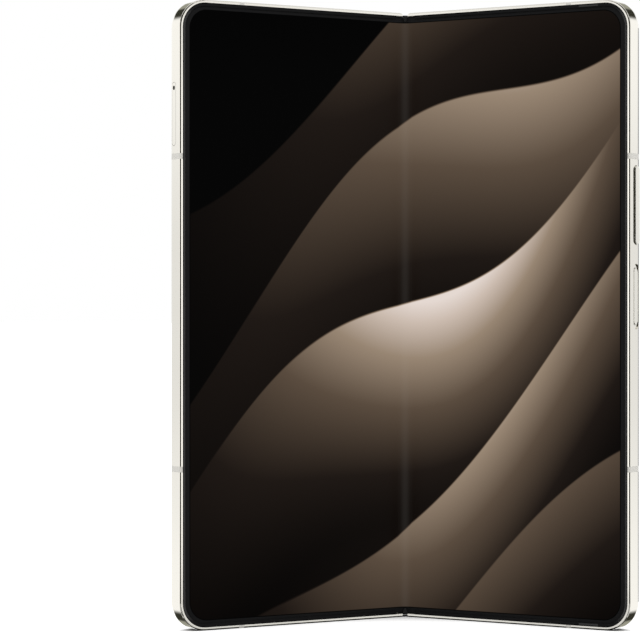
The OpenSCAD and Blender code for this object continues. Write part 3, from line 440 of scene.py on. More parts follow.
CELL = Finish("cell_wrap", (0.02, 0.02, 0.022), (0.03, 0.03, 0.032), roughness=0.5, grain=0.1)
MODULE = Finish("module_black", (0.01, 0.01, 0.011), (0.016, 0.016, 0.018), roughness=0.4)
BARREL = Finish("barrel_black", (0.006, 0.006, 0.007), (0.01, 0.01, 0.011), roughness=0.45)
COPPER = Finish("copper_coil", (0.6, 0.26, 0.11), (0.5, 0.2, 0.08), metallic=1.0, roughness=0.35)
LED = Finish("led_phosphor", (0.82, 0.76, 0.5), (0.78, 0.7, 0.42), roughness=0.6)
GOLD = Finish("contact_gold", (0.85, 0.6, 0.25), (0.8, 0.55, 0.2), metallic=1.0, roughness=0.25)
BAFFLE = Finish("lens_baffle", (0.03, 0.03, 0.036), (0.045, 0.045, 0.05), roughness=0.2)
GAUZE = Finish("speaker_gauze", (0.03, 0.03, 0.03), (0.06, 0.06, 0.06), metallic=1.0,
               roughness=0.5, grain=0.6, grain_scale=25000.0, bump=0.02 * MM)
FLASH_GLASS = Finish("frosted_flash", (0.80, 0.785, 0.74), (0.70, 0.685, 0.64), roughness=0.4,
                     grain=0.2, grain_scale=4000.0, bump=0.02 * MM, coat=0.5)


@dataclass(frozen=True)
class ClearFinish(Surface):
    """A clear or tinted glass.

    Attributes:
        name: Name of the material.
        colour: Tint of what passes through.
        roughness: Roughness of the surface.
        ior: Index of refraction.
    """

    name: str
    colour: tuple[float, float, float]
    roughness: float = 0.02
    ior: float = 1.45

    def fill(self, w: Wires, shader: bpy.types.Node) -> None:
        """Sets up the material."""
        tint = w.add("ShaderNodeGroup", node_tree=tint_group())
        edge = tuple(0.92 * c for c in self.colour)
        w.feed(shader, {
            "Transmission Weight": 1.0, "IOR": self.ior, "Roughness": self.roughness,
            "Base Color": w.mix(tint.outputs["Mask"], (*self.colour, 1), (*edge, 1)),
        })


LENS_GLASS = ClearFinish("tinted_lens_glass", (0.24, 0.24, 0.27), ior=1.15)


@dataclass(frozen=True)
class PaintedGlintElement(Surface):
    """The front lens element: dark, with a painted bluish glint where it faces the viewer, fading
    through dark violet to near black at the rim.
    """

    name: str = "lens_element_painted_glint"

    def fill(self, w: Wires, shader: bpy.types.Node) -> None:
        """Sets up the material."""
        # Painted glint: the base colour is bright blue where the element faces the viewer.
        facing = w.add("ShaderNodeLayerWeight", {"Blend": 0.4})
        colour = w.ramp(facing.outputs["Facing"], (
            (0.0, (0.42, 0.42, 0.62)), (0.035, (0.09, 0.09, 0.24)), (0.14, (0.012, 0.012, 0.035)),
            (0.35, (0.03, 0.028, 0.09)), (0.6, (0.006, 0.005, 0.012))))
        w.feed(shader, {"Base Color": colour, "Roughness": 0.08, "Specular IOR Level": 0.3})


LENS_ELEMENT = PaintedGlintElement()

NODE_FINISHES: dict[str, Surface] = {
    "cover_frame": POLISHED, "camera_frame": POLISHED, "spine_cover": POLISHED,
    "card_tray": POLISHED, "lens_rings": POLISHED,
    "volume_key": SATIN_KEY, "power_key": SATIN_KEY,
    "cover_antenna_bands": BAND, "camera_antenna_bands": BAND,
    "cover_bezel": RUBBER, "camera_bezel": RUBBER, "bezel_pads": CAP,
    "spine_end_caps": HINGE_CAP, "crease_caps": CAP,
    "back_glass": CREAM_GLASS, "camera_housing": HOUSING, "cover_glass": BLACK_GLASS,
    "cover_screen_plate": STEEL, "camera_screen_plate": STEEL, "cover_wings": STEEL,
    "camera_wings": STEEL, "upper_hinge_base": STEEL, "lower_hinge_base": STEEL,
    "friction_clips": STEEL, "left_idlers": STEEL, "right_idlers": STEEL, "card_reader": STEEL,
    "shield_can": STEEL, "usb_port": STEEL, "vibration_motor": STEEL, "cover_magnets": STEEL,
    "camera_magnets": STEEL, "cover_wing_screws": STEEL, "camera_wing_screws": STEEL,
    "spine_screws": STEEL, "left_pinions": BRASS, "right_pinions": BRASS,
    "key_switches": BRASS, "hinge_flex_cables": FLEX, "cover_board": BOARD,
    "main_board": BOARD, "cover_battery": CELL, "camera_battery": CELL,
    "cover_display_panel": MODULE, "selfie_camera": MODULE, "top_speaker": MODULE,
    "bottom_speaker": MODULE, "camera_modules": BARREL, "charging_coil": COPPER,
    "flash_led": LED, "flash_window": FLASH_GLASS, "lens_glasses": LENS_GLASS,
    "camera_elements": LENS_ELEMENT,
}


# ---------------------------------------- screen


@dataclass(frozen=True)
class SilkLayer:
    """One fold of the silk drawn on the screen, in millimetres on the flat screen.

    The fold's crest runs along height = level + lean * x + swell * sin(x / wave + phase).
    Light falls off below the crest over the given depth, and to both sides of the centre
    over the spread. The glow is the crest's light, the floor what is left far below it.
    """

    level: float
    lean: float
    swell: float
    wave: float
    phase: float
    depth: float
    glow: float
    floor: float
    centre: float
    spread: float


@dataclass
class LitScreen(Surface):
    """Material of the lit screen: soft folds of champagne silk inside a black border."""

    name: str = "lit_screen"
    border_side: float = 3.1
    border_end: float = 2.6
    corner: float = 4.6
    half_w: float = HALF_W
    height: float = BODY_H
    crease_w: float = 1.5
    crease_highlight: float = 0.02
    gap: float = 0.22
    layers: Sequence[SilkLayer] = field(default_factory=lambda: (
        SilkLayer(150.0, 0.55, 14.0, 26.0, 0.6, 60.0, 0.30, 0.02, 30.0, 60.0),
        SilkLayer(112.0, 0.75, 16.0, 24.0, 1.9, 62.0, 0.62, 0.03, 34.0, 62.0),
        SilkLayer(80.0, 0.80, 13.0, 22.0, 3.1, 56.0, 1.00, 0.05, 12.0, 46.0),
        SilkLayer(34.0, 0.85, 12.0, 25.0, 4.4, 52.0, 0.62, 0.03, 30.0, 52.0),
        SilkLayer(-8.0, 0.70, 10.0, 23.0, 5.6, 44.0, 0.34, 0.02, 40.0, 55.0),
    ))

    @staticmethod
    def bell(w: Wires, off: object) -> object:
        """Bell curve of a distance, 1 in the middle."""
        return w.math("POWER", 2.718, w.times(off, off, -1.0))

    def crest(self, w: Wires, x: object, z: object, layer: SilkLayer) -> tuple[object, object]:
        """Brightness and mask of one fold.

        Args:
            w: Wires of the material.
            x: Socket of the flat x, in millimetres.
            z: Socket of the height, in millimetres.
            layer: The fold.

        Returns:
            Sockets of the brightness and of the mask.
        """
        angle = w.math("ADD", w.math("DIVIDE", x, layer.wave), layer.phase)
        wave = w.times(w.math("SINE", angle), layer.swell)
        line = w.math("ADD", w.math("ADD", w.times(x, layer.lean), layer.level), wave)
        below = w.math("SUBTRACT", line, z)
        fall = w.math("SUBTRACT", 1.0, w.math("DIVIDE", below, layer.depth), clamp=True)
        soft = w.math("POWER", fall, 1.7)
        spot = self.bell(w, w.math("DIVIDE", w.math("SUBTRACT", x, layer.centre), layer.spread))
        glow = w.times(soft, spot, layer.glow)
        tone = w.math("ADD", glow, w.times(spot, layer.floor))
        return tone, w.smooth(below, -0.25, 0.55)

    def crease(self, w: Wires, x: object) -> object:
        """Painted highlight along the fold: a faint lighter line in the screen's glow."""
        off = w.math("DIVIDE", w.math("ABSOLUTE", x), self.crease_w)
        return w.times(self.bell(w, off), self.crease_highlight)

    def active(self, w: Wires, x: object, z: object, grow: float = 0.0) -> object:
        """Mask of the lit area: a rectangle with round corners.

        Args:
            w: Wires of the material.
            x: Socket of the flat x, in millimetres.
            z: Socket of the height, in millimetres.
            grow: How far outside the lit area the mask ends.

        Returns:
            The mask's socket.
        """
        half_h = self.height / 2 - self.border_end - self.corner
        side = self.half_w - self.border_side - self.corner
        dx = w.math("MAXIMUM", w.math("SUBTRACT", w.math("ABSOLUTE", x), side), 0.0)
        mid = w.math("SUBTRACT", z, self.height / 2)
        dz = w.math("MAXIMUM", w.math("SUBTRACT", w.math("ABSOLUTE", mid), half_h), 0.0)
        squares = (w.times(d, d) for d in (dx, dz))
        reach = w.math("SQRT", w.math("ADD", *squares))
        edge = self.corner + grow
        return w.math("SUBTRACT", 1.0, w.smooth(reach, edge - 0.08, edge + 0.08))

    def fill(self, w: Wires, shader: bpy.types.Node) -> None:
        """Sets up the material."""
        flat = w.split(w.add("ShaderNodeUVMap", uv_map="flat").outputs["UV"])
        x, z = (w.times(flat[k], FLAT_UNIT) for k in (0, 1))
        tone = 0.0
        for layer in self.layers:
            bright, mask = self.crest(w, x, z, layer)
            keep = w.times(w.math("SUBTRACT", 1.0, mask), tone)
            tone = w.math("ADD", keep, w.times(bright, mask))
        colour = w.ramp(tone, (
            (0.0, (0.0, 0.0, 0.0)), (0.12, (0.012, 0.008, 0.006)), (0.35, (0.10, 0.07, 0.048)),
            (0.62, (0.31, 0.235, 0.17)), (0.85, (0.60, 0.50, 0.43)), (1.0, (0.78, 0.69, 0.64))))
        # Painted highlight: along the crease the screen's glow is mixed toward pale grey.
        crease_highlighted = w.mix(self.crease(w, x), colour, (0.6, 0.57, 0.53, 1))
        hand = w.add("ShaderNodeGroup", node_tree=handling_group())
        w.feed(hand, {"Roughness": 0.1, "Smudge": 0.04})
        w.feed(shader, {
            "Emission Color": w.mix(self.active(w, x, z), (0, 0, 0, 1), crease_highlighted),
            "Emission Strength": 1.0, "Specular IOR Level": 0.015,
            "Base Color": w.mix(self.active(w, x, z, self.gap), (0.0112, 0.0112, 0.0115, 1),
                                (0.0003, 0.0003, 0.0003, 1)),
            "Roughness": hand.outputs["Roughness"],
        })


@dataclass
class FoldingScreen:
    """The folding screen as two sheets that meet in the middle of the fold."""

    fold: Fold
    half_w: float = HALF_W * MM
    height: float = BODY_H * MM
    inset: float = 1.2 * MM
    outline_r: float = OUTLINE_R * MM
    thickness: float = 0.5 * MM
    bend_r: float = 3.4 * MM
    bend_steps: int = 18
    corner_steps: int = 14
    rows: int = 10

    @property
    def apex_x(self) -> float:
        """Flat x at which the two panels' planes would meet."""
        c, s = math.cos(self.fold.turn), math.sin(self.fold.turn)
        return self.fold.axis_x - (self.fold.axis_x - self.fold.depth * s) / c

    @property
    def bend_x(self) -> float:
        """Flat x at which the bend starts."""
        return self.apex_x + self.bend_r * math.tan(self.fold.turn)

    def point(self, side: Side, x: float, z: float, depth: float) -> Vector:
        """A point of the bent screen.

        Args:
            side: Which half.
            x: Flat distance from the fold.
            z: Height.
            depth: Depth below the screen's surface.

        Returns:
            The point in the row frame.
        """
        if x >= self.bend_x:
            return self.fold.place(side, x, depth, z)
        start = self.fold.place(side, self.bend_x, 0.0, z)
        centre_y = start.y - self.bend_r * math.cos(self.fold.turn)
        angle = self.fold.turn * x / self.bend_x
        radius = self.bend_r + depth
        across, along = radius * math.sin(angle), radius * math.cos(angle)
        return Vector((side.value * across, centre_y + along, z))

    def stations(self) -> list[float]:
        """Flat x of the sheet's columns, from the fold outward."""
        corner_r = self.outline_r - self.inset
        corner_x = self.half_w - self.outline_r
        bend = [self.bend_x * i / self.bend_steps for i in range(self.bend_steps)]
        flat = [self.bend_x + (corner_x - self.bend_x) * i / 6 for i in range(6)]
        turn = [corner_x + corner_r * math.sin(math.pi / 2 * i / self.corner_steps)
                for i in range(self.corner_steps + 1)]
        return bend + flat + turn

    def edge(self, x: float) -> float:
        """Distance of the sheet's end from the phone's end at x."""
        corner_r = self.outline_r - self.inset
        over = max(0.0, x - (self.half_w - self.outline_r))
        return self.inset + corner_r - math.sqrt(max(0.0, corner_r ** 2 - over ** 2))

    def share(self, side: Side) -> bpy.types.Object:
        """Builds one half of the screen as a closed sheet with a flat UV map."""
        grid = bmesh.new()
        uv = grid.loops.layers.uv.new("flat")
        flat: list[tuple[float, float]] = []
        layers: list[list[list[bmesh.types.BMVert]]] = []
        for depth in (0.0, self.thickness):
            columns = []
            for x in self.stations():
                gap = self.edge(x)
                heights = [gap + (self.height - 2 * gap) * j / self.rows
                           for j in range(self.rows + 1)]
                columns.append([grid.verts.new(self.point(side, x, z, depth)) for z in heights])
                flat += [(side.value * x / MM / FLAT_UNIT, z / MM / FLAT_UNIT) for z in heights]
            layers.append(columns)
        grid.verts.index_update()
        front, back = layers
        last, top = len(front) - 1, self.rows
        for columns in layers:
            for i in range(last):
                for j in range(top):
                    grid.faces.new((columns[i][j], columns[i + 1][j],
                                    columns[i + 1][j + 1], columns[i][j + 1]))
        for i in range(last):
            for j in (0, top):
                grid.faces.new((front[i][j], front[i + 1][j], back[i + 1][j], back[i][j]))
        for j in range(top):
            for i in (0, last):
                grid.faces.new((front[i][j], front[i][j + 1], back[i][j + 1], back[i][j]))
        for face in grid.faces:
            face.smooth = True
            for loop in face.loops:
                loop[uv].uv = flat[loop.vert.index]
        return finished_piece(grid, f"screen_{side.name.lower()}", LitScreen())

    def mark(self, piece: bpy.types.Object, side: Side) -> None:
        """Hides the CAD parts that a half's share stands in for."""
        panel = "main_display_left" if side is Side.COVER else "main_display_right"
        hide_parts(panel, "main_display_fold")

    def build(self) -> None:
        """Builds both shares in place and hides the CAD parts that they stand in for."""
        for side in Side:
            piece = self.share(side)
            start, end = (self.point(side, x, self.height / 2, 0.0) for x in (self.bend_x, 0.0))
            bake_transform(piece)
            self.mark(piece, side)
            log.info("%s bends with the hinge", piece.name)


@dataclass
class FlexCables(FoldingScreen):
    """Flat cables behind the screen that cross the fold, bent along it.

    Attributes:
        reach: Flat x where a cable ends under the midplate.
        width: Width of a cable.
        depths: Depths of a cable's two faces behind the screen's surface.
        spread: Distance of the two cables from mid-height.
    """

    reach: float = 9.0 * MM
    width: float = 12.0 * MM
    depths: tuple[float, float] = (0.7 * MM, 0.82 * MM)
    spread: float = 16.0 * MM

    def share(self, side: Side) -> bpy.types.Object:
        """Builds one half's share of both cables as closed strips."""
        grid = bmesh.new()
        steps = [self.bend_x * i / self.bend_steps for i in range(self.bend_steps)]
        steps += [self.bend_x + (self.reach - self.bend_x) * i / 4 for i in range(5)]
        corners = ((self.depths[0], -1), (self.depths[0], 1),
                   (self.depths[1], 1), (self.depths[1], -1))
        for place in (-self.spread, self.spread):
            middle = self.height / 2 + place
            add_tube(grid, [[self.point(side, x, middle + way * self.width / 2, depth)
                             for depth, way in corners] for x in steps])
        return finished_piece(grid, f"flex_cables_{side.name.lower()}", FLEX)

    def mark(self, piece: bpy.types.Object, side: Side) -> None:
        """Hides the CAD part that a half's share stands in for."""
        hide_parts("hinge_flex_cables")


@dataclass
class BezelGapShade:
    """A black strip in the gap between the frame's lip and the bezel ring, one on each half:
    painted shade of that gap.
    """

    fold: Fold
    half_w: float = HALF_W * MM
    height: float = BODY_H * MM
    outline_r: float = OUTLINE_R * MM
    outer: float = 0.752 * MM
    width: float = 0.2 * MM
    top: float = -0.51 * MM
    deep: float = -0.44 * MM
    fold_end: float = 3.5 * MM
    corner_steps: int = 16

    def path(self, inset: float) -> list[tuple[float, float]]:
        """Flat x and z along the open ring at an inset from the outline."""
        radius = self.outline_r - inset
        centre_x = self.half_w - self.outline_r
        points = [(self.fold_end, inset)]
        for turn, centre_z in ((0, self.outline_r), (1, self.height - self.outline_r)):
            for i in range(self.corner_steps + 1):
                angle = math.pi / 2 * (i / self.corner_steps + turn - 1)
                points.append((centre_x + radius * math.cos(angle),
                               centre_z + radius * math.sin(angle)))
        points.append((self.fold_end, self.height - inset))
        return points

    def build(self) -> None:
        """Builds the strip of each half."""
        section = ((self.outer, self.top), (self.outer + self.width, self.top),
                   (self.outer + self.width, self.deep), (self.outer, self.deep))
        for side in Side:
            rails = [[self.fold.place(side, x, depth, z) for x, z in self.path(inset)]
                     for inset, depth in section]
            grid = bmesh.new()
            add_tube(grid, list(zip(*rails)))
            piece = finished_piece(grid, f"bezel_gap_shade_{side.name.lower()}", GAP_SHADE, crisp=False)
            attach(piece, side.body)
            log.info("%s seams the lip", piece.name)


# ---------------------------------------- repeated details


class Item(Enum):
    """Shape that a row repeats."""

    PAD = "pad"
    RING = "ring"
    DISC = "disc"


@dataclass(frozen=True)
class Row:
    """Copies of one small shape along a line, made by Geometry Nodes on a flat half.

    Attributes:
        name: Name of the piece.
        item: Shape that is repeated.
        side: Half that carries the row.
        finish: Finish of the copies.
        slot: Material slot that the finish belongs to; not used.
        count: Number of copies.
        start: Flat x, depth and height of the first copy, in millimetres.
        step: From one copy to the next, in millimetres.
        size: A pad's three sizes; a ring's radius and wire radius; a disc's radius and
            thickness, in millimetres.
        shrink: Share by which each copy is smaller than the one before.
        turned: Whether a ring or disc faces the depth instead of the height.
    """

    name: str
    item: Item
    side: Side
    finish: Surface
    slot: str
    count: int
    start: tuple[float, float, float]
    step: tuple[float, float, float]
    size: tuple[float, float, float]
    shrink: float = 0.0
    turned: bool = True

    def shape(self, w: Wires, size: bpy.types.NodeSocket) -> bpy.types.NodeSocket:
        """Adds the nodes of the shape that is repeated.

        Args:
            w: Wires of the row's tree.
            size: The tree's size input.

        Returns:
            Socket of the shape's mesh.
        """
        if self.item is Item.PAD:
            return w.add("GeometryNodeMeshCube", {"Size": size}).outputs["Mesh"]
        first, second, _ = w.split(size)
        if self.item is Item.DISC:
            disc = {"Vertices": 32, "Radius": first, "Depth": second}
            return w.add("GeometryNodeMeshCylinder", disc).outputs["Mesh"]
        ring, wire = (
            w.add("GeometryNodeCurvePrimitiveCircle", {"Resolution": steps, "Radius": radius})
            for steps, radius in ((64, first), (10, second)))
        sweep = {"Curve": ring.outputs["Curve"], "Profile Curve": wire.outputs["Curve"]}
        return w.add("GeometryNodeCurveToMesh", sweep).outputs["Mesh"]

    def tree(self) -> bpy.types.NodeTree:
        """Builds the node tree of the row's shape, once for each shape."""
        name = f"row_of_{self.item.value}s"
        if name in bpy.data.node_groups:
            return bpy.data.node_groups[name]
        tree = bpy.data.node_groups.new(name, "GeometryNodeTree")
        for label, kind in (("Count", "Int"), ("Start", "Vector"), ("Step", "Vector"),
                            ("Size", "Vector"), ("Turn", "Vector"), ("Shrink", "Float"),
                            ("Finish", "Material")):
            tree.interface.new_socket(label, in_out="INPUT", socket_type=f"NodeSocket{kind}")
        tree.interface.new_socket("Geometry", in_out="OUTPUT", socket_type="NodeSocketGeometry")
        w = Wires(tree)
        given = w.add("NodeGroupInput").outputs
        line = w.add("GeometryNodeMeshLine", {
            "Count": given["Count"], "Start Location": given["Start"], "Offset": given["Step"],
        }, mode="OFFSET")
        number = w.add("GeometryNodeInputIndex").outputs[0]
        copies = w.add("GeometryNodeInstanceOnPoints", {
            "Points": line.outputs["Mesh"], "Instance": self.shape(w, given["Size"]),
            "Rotation": given["Turn"],
            "Scale": w.math("SUBTRACT", 1.0, w.times(number, given["Shrink"])),
        })
        real = w.add("GeometryNodeRealizeInstances", {"Geometry": copies.outputs["Instances"]})
        paint = w.add("GeometryNodeSetMaterial", {
            "Geometry": real.outputs["Geometry"], "Material": given["Finish"]})
        w.add("NodeGroupOutput", {"Geometry": paint.outputs["Geometry"]})
        return tree

    def build(self, fold: Fold) -> bpy.types.Object:
        """Builds the row in its place at rest and lets it ride on its half.

        Args:
            fold: Where the halves turn.

        Returns:
            The finished piece.
        """
        holder = add_piece(bpy.data.meshes.new(f"{self.name}_points"))
        nodes = holder.modifiers.new("row", "NODES")
        nodes.node_group = self.tree()
        turn = math.pi / 2 if self.turned else 0.0
        values = {
            "Count": self.count, "Start": [v * MM for v in self.start],
            "Step": [v * MM for v in self.step], "Size": [v * MM for v in self.size],
            "Turn": [turn, 0.0, 0.0], "Shrink": self.shrink, "Finish": self.finish.material(),
        }
        for socket in nodes.node_group.interface.items_tree:
            if socket.in_out == "INPUT":
                nodes[socket.identifier] = values[socket.name]
        evaluated = holder.evaluated_get(bpy.context.evaluated_depsgraph_get())
        mesh = bpy.data.meshes.new_from_object(evaluated)
        bpy.data.objects.remove(holder)
        mesh.name = self.name
        mesh.transform(fold.matrix(self.side))
        if self.side is Side.COVER:
            mesh.flip_normals()
        for face in mesh.polygons:
            face.use_smooth = self.item is not Item.PAD
        piece = add_piece(mesh)
        mark_sharp(piece)
        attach(piece, self.side.body)
        log.info("%s: %d copies", self.name, self.count)
        return piece


@dataclass
class SmallDetails:
    """Contacts, gauzes, lens baffles and the outer screen's camera window."""

    fold: Fold
    half_w: float = HALF_W
    height: float = BODY_H
    half_t: float = 6.0
    side_y: float = 2.75
    flash_x: float = 37.85
    flash_z: float = 139.9
    island_x: float = 51.55
    island_z: float = 124.65
    lens_pitch: float = 15.6
    barrel_y: float = 7.15

    def rows(self) -> list[Row]:
        """Lists every row, with its places on the flat half."""
        hole_x = self.half_w - 25
        port_x = self.half_w / 2
        eye = (self.half_w / 2 + 1, self.half_t, self.height - 8)
        rows = [
            Row("bottom_speaker_gauze", Item.DISC, Side.CAMERA, GAUZE, "black_module", 6,
                (hole_x, self.side_y, 0.5), (2, 0, 0), (0.58, 0.06, 0), turned=False),
            Row("top_speaker_gauze", Item.DISC, Side.COVER, GAUZE, "black_module", 6,
                (hole_x, self.side_y, self.height - 0.5), (2, 0, 0), (0.58, 0.06, 0),
                turned=False),
            Row("selfie_window", Item.DISC, Side.COVER, BARREL, "black_module", 3,
                (eye[0], eye[1] + 0.002, eye[2]), (0, 0.003, 0), (1.9, 0.02, 0), shrink=0.03),
            Row("selfie_ring", Item.RING, Side.COVER, BAFFLE, "black_module", 2,
                (eye[0], eye[1] + 0.01, eye[2]), (0, 0, 0), (1.25, 0.03, 0), shrink=0.35),
            Row("selfie_pupil", Item.DISC, Side.COVER, LENS_ELEMENT, "lens_element", 4,
                (eye[0], eye[1] + 0.010, eye[2]), (0, 0.005, 0), (0.6, 0.03, 0), shrink=0.15),
            Row("flash_ring", Item.RING, Side.CAMERA, POLISHED, "frame", 1,
                (self.flash_x, self.half_t - 0.02, self.flash_z), (0, 0, 0), (1.8, 0.07, 0)),
        ]
        for label, offset in (("front", -0.365), ("back", 0.365)):
            start = (port_x - 2.75, self.side_y + offset, 2.4)
            rows.append(Row(f"port_contacts_{label}", Item.PAD, Side.CAMERA, GOLD, "gear_brass",
                            12, start, (0.5, 0, 0), (0.26, 0.03, 2.2)))
        for number, shift in ((1, -1), (2, 0), (3, 1)):
            start = (self.island_x, self.barrel_y - 0.1, self.island_z + shift * self.lens_pitch)
            rows.append(Row(f"lens_baffles_{number}", Item.RING, Side.CAMERA, BAFFLE,
                            "black_module", 5, start, (0, -0.2, 0), (4.4, 0.06, 0),
                            shrink=0.0967))
        return rows

    def build(self) -> None:
        """Builds every row."""
        for row in self.rows():
            row.build(self.fold)


# ---------------------------------------- mesh helpers


def add_tube(grid: bmesh.types.BMesh, sections: Sequence[Sequence[Vector]]) -> None:
    """Adds a closed tube of four sides through the sections.

    Args:
        grid: Shape that takes it.
        sections: Four corners of each section along the tube.
    """
    rings = [[grid.verts.new(corner) for corner in section] for section in sections]
    for near, far in zip(rings, rings[1:]):
        for k in range(4):
            grid.faces.new((near[k], near[(k + 1) % 4], far[(k + 1) % 4], far[k]))
    grid.faces.new(rings[0])
    grid.faces.new(rings[-1][::-1])


def finished_piece(grid: bmesh.types.BMesh, name: str, finish: Surface,
                   crisp: bool = True) -> bpy.types.Object:
    """Turns a grid into a piece.

    Args:
        grid: The shape, which is freed.
        name: Name of the piece.
        finish: The piece's look.
        crisp: Whether its sharp edges are marked.

    Returns:
        The piece.
    """
    mesh = bpy.data.meshes.new(name)
    bmesh.ops.recalc_face_normals(grid, faces=grid.faces)
    grid.to_mesh(mesh)
    grid.free()
    mesh.materials.append(finish.material())
    piece = add_piece(mesh)
    if crisp:
        mark_sharp(piece)
    return piece


def add_piece(mesh: bpy.types.Mesh) -> bpy.types.Object:
    """Adds a mesh to the scene under its own name."""
    piece = bpy.data.objects.new(mesh.name, mesh)
    bpy.context.scene.collection.objects.link(piece)
    return piece


def mark_sharp(piece: bpy.types.Object) -> None:
    """Marks the sharp edges, so that smooth faces stay crisp there."""
    work = bmesh.new()
    work.from_mesh(piece.data)
    for line in work.edges:
        line.smooth = len(line.link_faces) == 2 and line.calc_face_angle(0) < SHARP_ANGLE
    work.to_mesh(piece.data)
    work.free()


# ---------------------------------------- studio


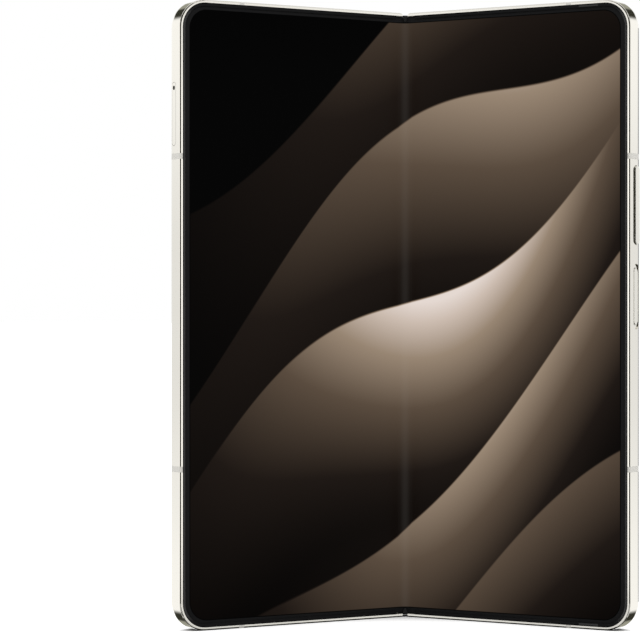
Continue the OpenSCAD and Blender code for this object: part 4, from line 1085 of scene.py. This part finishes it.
@dataclass
class Studio:
    """White floor and backdrop, soft lamps and the camera."""

    fold: Fold
    lens: float = 147.3
    distance: float = 672.0 * MM
    height: float = BODY_H / 2 * MM
    axis_px: float = 405.12
    mid_px: float = 315.0
    shadow_reach: float = 24 * MM
    # Ray lengths over which the floor's painted contact shade fades out in reflections.
    touch: tuple[float, float] = (1.2 * MM, 1.8 * MM)

    def camera(self) -> None:
        """Creates the camera in front of the fold, at the phone's middle height."""
        data = bpy.data.cameras.new("camera")
        data.lens = self.lens
        data.sensor_width = 36.0
        data.clip_start = 0.01
        data.shift_x = (IMAGE_W / 2 - self.axis_px) / IMAGE_W
        data.shift_y = (self.mid_px - IMAGE_H / 2) / IMAGE_W
        camera = bpy.data.objects.new("camera", data)
        fold_y = self.fold.axis_y - self.fold.depth
        camera.location = (0.0, fold_y - self.distance, self.height)
        camera.rotation_euler = (math.pi / 2, 0.0, 0.0)
        bpy.context.scene.collection.objects.link(camera)
        bpy.context.scene.camera = camera

    def lamp(self, name: str, place: tuple[float, float, float], size: tuple[float, float],
             power: float) -> None:
        """Adds a rectangular soft lamp that points at the phone's middle.

        Args:
            name: Name of the lamp.
            place: Where it stands, in metres.
            size: Its width and height, in metres.
            power: Its power, in watts.
        """
        data = bpy.data.lights.new(name, "AREA")
        data.shape = "RECTANGLE"
        data.size, data.size_y = size
        data.energy = power
        lamp = bpy.data.objects.new(name, data)
        lamp.location = place
        lamp.visible_glossy = False
        aim = Vector((0, 0, self.height)) - Vector(place)
        lamp.rotation_euler = aim.to_track_quat("-Z", "Y").to_euler()
        bpy.context.scene.collection.objects.link(lamp)

    def floor(self) -> None:
        """Creates the floor: white to the camera, with the phone's soft shadow, partly real shadow
        and partly painted shadow from ambient occlusion.
        """
        mesh = bpy.data.meshes.new("floor")
        reach = 25.0
        mesh.from_pydata([(-reach, -reach, 0), (reach, -reach, 0), (reach, reach, 0),
                          (-reach, reach, 0)], [], [(0, 1, 2, 3)])
        floor = add_piece(mesh)
        made = bpy.data.materials.new("floor_white")
        made.use_nodes = True
        w = Wires(made.node_tree)
        shader = made.node_tree.nodes["Principled BSDF"]
        path = w.add("ShaderNodeLightPath").outputs
        # Painted shadow: the floor's white glow to the camera is dimmed where ambient occlusion
        # finds the phone close by.
        contact = w.add("ShaderNodeAmbientOcclusion", {"Distance": self.shadow_reach}, samples=12)
        outside_painted_shadow = w.smooth(contact.outputs["AO"], 0.12, 0.66)
        w.feed(shader, {
            "Roughness": 0.9, "Specular IOR Level": 0.1, "Emission Color": WHITE,
            "Emission Strength": w.times(path["Is Camera Ray"], outside_painted_shadow, 0.85),
            "Base Color": w.mix(path["Is Camera Ray"], grey(0.82), grey(0.4)),
        })
        # Polished metal sees past the floor to the studio, but where it nearly touches the floor
        # its reflection gets a painted contact shadow: a flat dark colour.
        far = w.smooth(path["Ray Length"], *self.touch)
        clear = w.add("ShaderNodeBsdfTransparent", {"Color": w.mix(far, PAINTED_CONTACT_SHADE, WHITE)})
        choose = w.add("ShaderNodeMixShader")
        for source, target in zip((path["Is Glossy Ray"], shader.outputs[0], clear.outputs[0]),
                                  choose.inputs):
            w.link(source, target)
        w.link(choose.outputs[0], made.node_tree.nodes["Material Output"].inputs["Surface"])
        mesh.materials.append(made)

    def world(self) -> None:
        """Sets the surroundings: white to the camera, a studio to metal and glass."""
        world = bpy.data.worlds.new("studio")
        bpy.context.scene.world = world
        world.use_nodes = True
        w = Wires(world.node_tree)
        path = w.add("ShaderNodeLightPath").outputs
        across, depth, up = w.split(w.add("ShaderNodeTexCoord").outputs["Generated"])
        side = w.math("ABSOLUTE", across)
        high = w.math("ABSOLUTE", up)
        # Dark parts: the room behind the viewer, but for the table in it; strips above and below
        # the side lights; the ground under the phone. One far screen is dark as well.
        front = w.window((depth, -0.36, -0.52), (side, 0.82, 0.77))
        table = w.window((up, -0.125, -0.16), (side, 0.18, 0.3), (depth, -0.45, -0.52))
        front = w.times(front, w.math("SUBTRACT", 1.0, table))
        strip = w.window((high, 0.30, 0.40), (side, 0.38, 0.46), (depth, 0.2, 0.4))
        low = w.window((up, -0.65, -0.71), (depth, 0.35, 0.2))
        dark = w.math("MAXIMUM", w.math("MAXIMUM", front, strip), low)
        screen = w.window((depth, 0.6, 0.85), (across, 0.02, 0.1), (high, 0.14, 0.1))
        # Lit parts: walls and ceiling, a belt level with the phone, the light beside the viewer,
        # brightest at that level and dimmer below it, and a half-dark patch between the strips.
        lit = w.mix(w.smooth(up, 0.25, 0.5), grey(1.08), grey(0.84))
        lit = w.mix(w.window((high, 0.11, 0.02), (depth, 0.1, 0.3)), lit, grey(0.88))
        beside = w.mix(w.smooth(high, 0.118, 0.101), grey(0.86), grey(1.3))
        beside = w.mix(w.smooth(up, -0.101, -0.118), beside, grey(0.62))
        lit = w.mix(w.smooth(depth, -0.2, -0.34), lit, beside)
        lit = w.mix(screen, lit, FAR_SCREEN)
        patch = w.window((high, 0.26, 0.36), (side, 0.5, 0.4), (depth, 0.6, 0.75))
        glossy = w.mix(dark, w.mix(patch, lit, HALF_DARK), DARK_ROOM)
        # Diffuse light comes mostly from overhead and from behind.
        soft = w.mix(w.smooth(depth, 0.0, 0.6), grey(0.45), grey(0.62))
        soft = w.mix(w.smooth(up, 0.15, 0.85), soft, grey(1.15))
        seen = w.mix(path["Is Glossy Ray"], soft, glossy)
        plain = w.math("MAXIMUM", path["Is Camera Ray"], path["Is Transmission Ray"])
        w.link(w.mix(plain, seen, WHITE), world.node_tree.nodes["Background"].inputs["Color"])

    def build(self) -> None:
        """Creates everything that isn't the phone."""
        bpy.context.scene.view_settings.view_transform = "Standard"
        self.camera()
        self.floor()
        self.world()
        for lamp in LAMPS:
            self.lamp(*lamp)
        log.info("studio and camera are set")


# ---------------------------------------- dressing


def dress_nodes() -> None:
    """Gives every CAD node its finish."""
    for name, node in frame["nodes"].items():
        finish = NODE_FINISHES.get(name)
        if finish is None:
            continue
        node.data.materials.clear()
        node.data.materials.append(finish.material())
        log.info("%s wears %s", name, finish.name)


def main() -> None:
    """Builds the phone's looks in order."""
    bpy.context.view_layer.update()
    fold = Fold.read()
    Studio(fold).build()
    dress_nodes()
    FoldingScreen(fold).build()
    FlexCables(fold).build()
    BezelGapShade(fold).build()
    SmallDetails(fold).build()


if __name__ == "__main__":
    main()
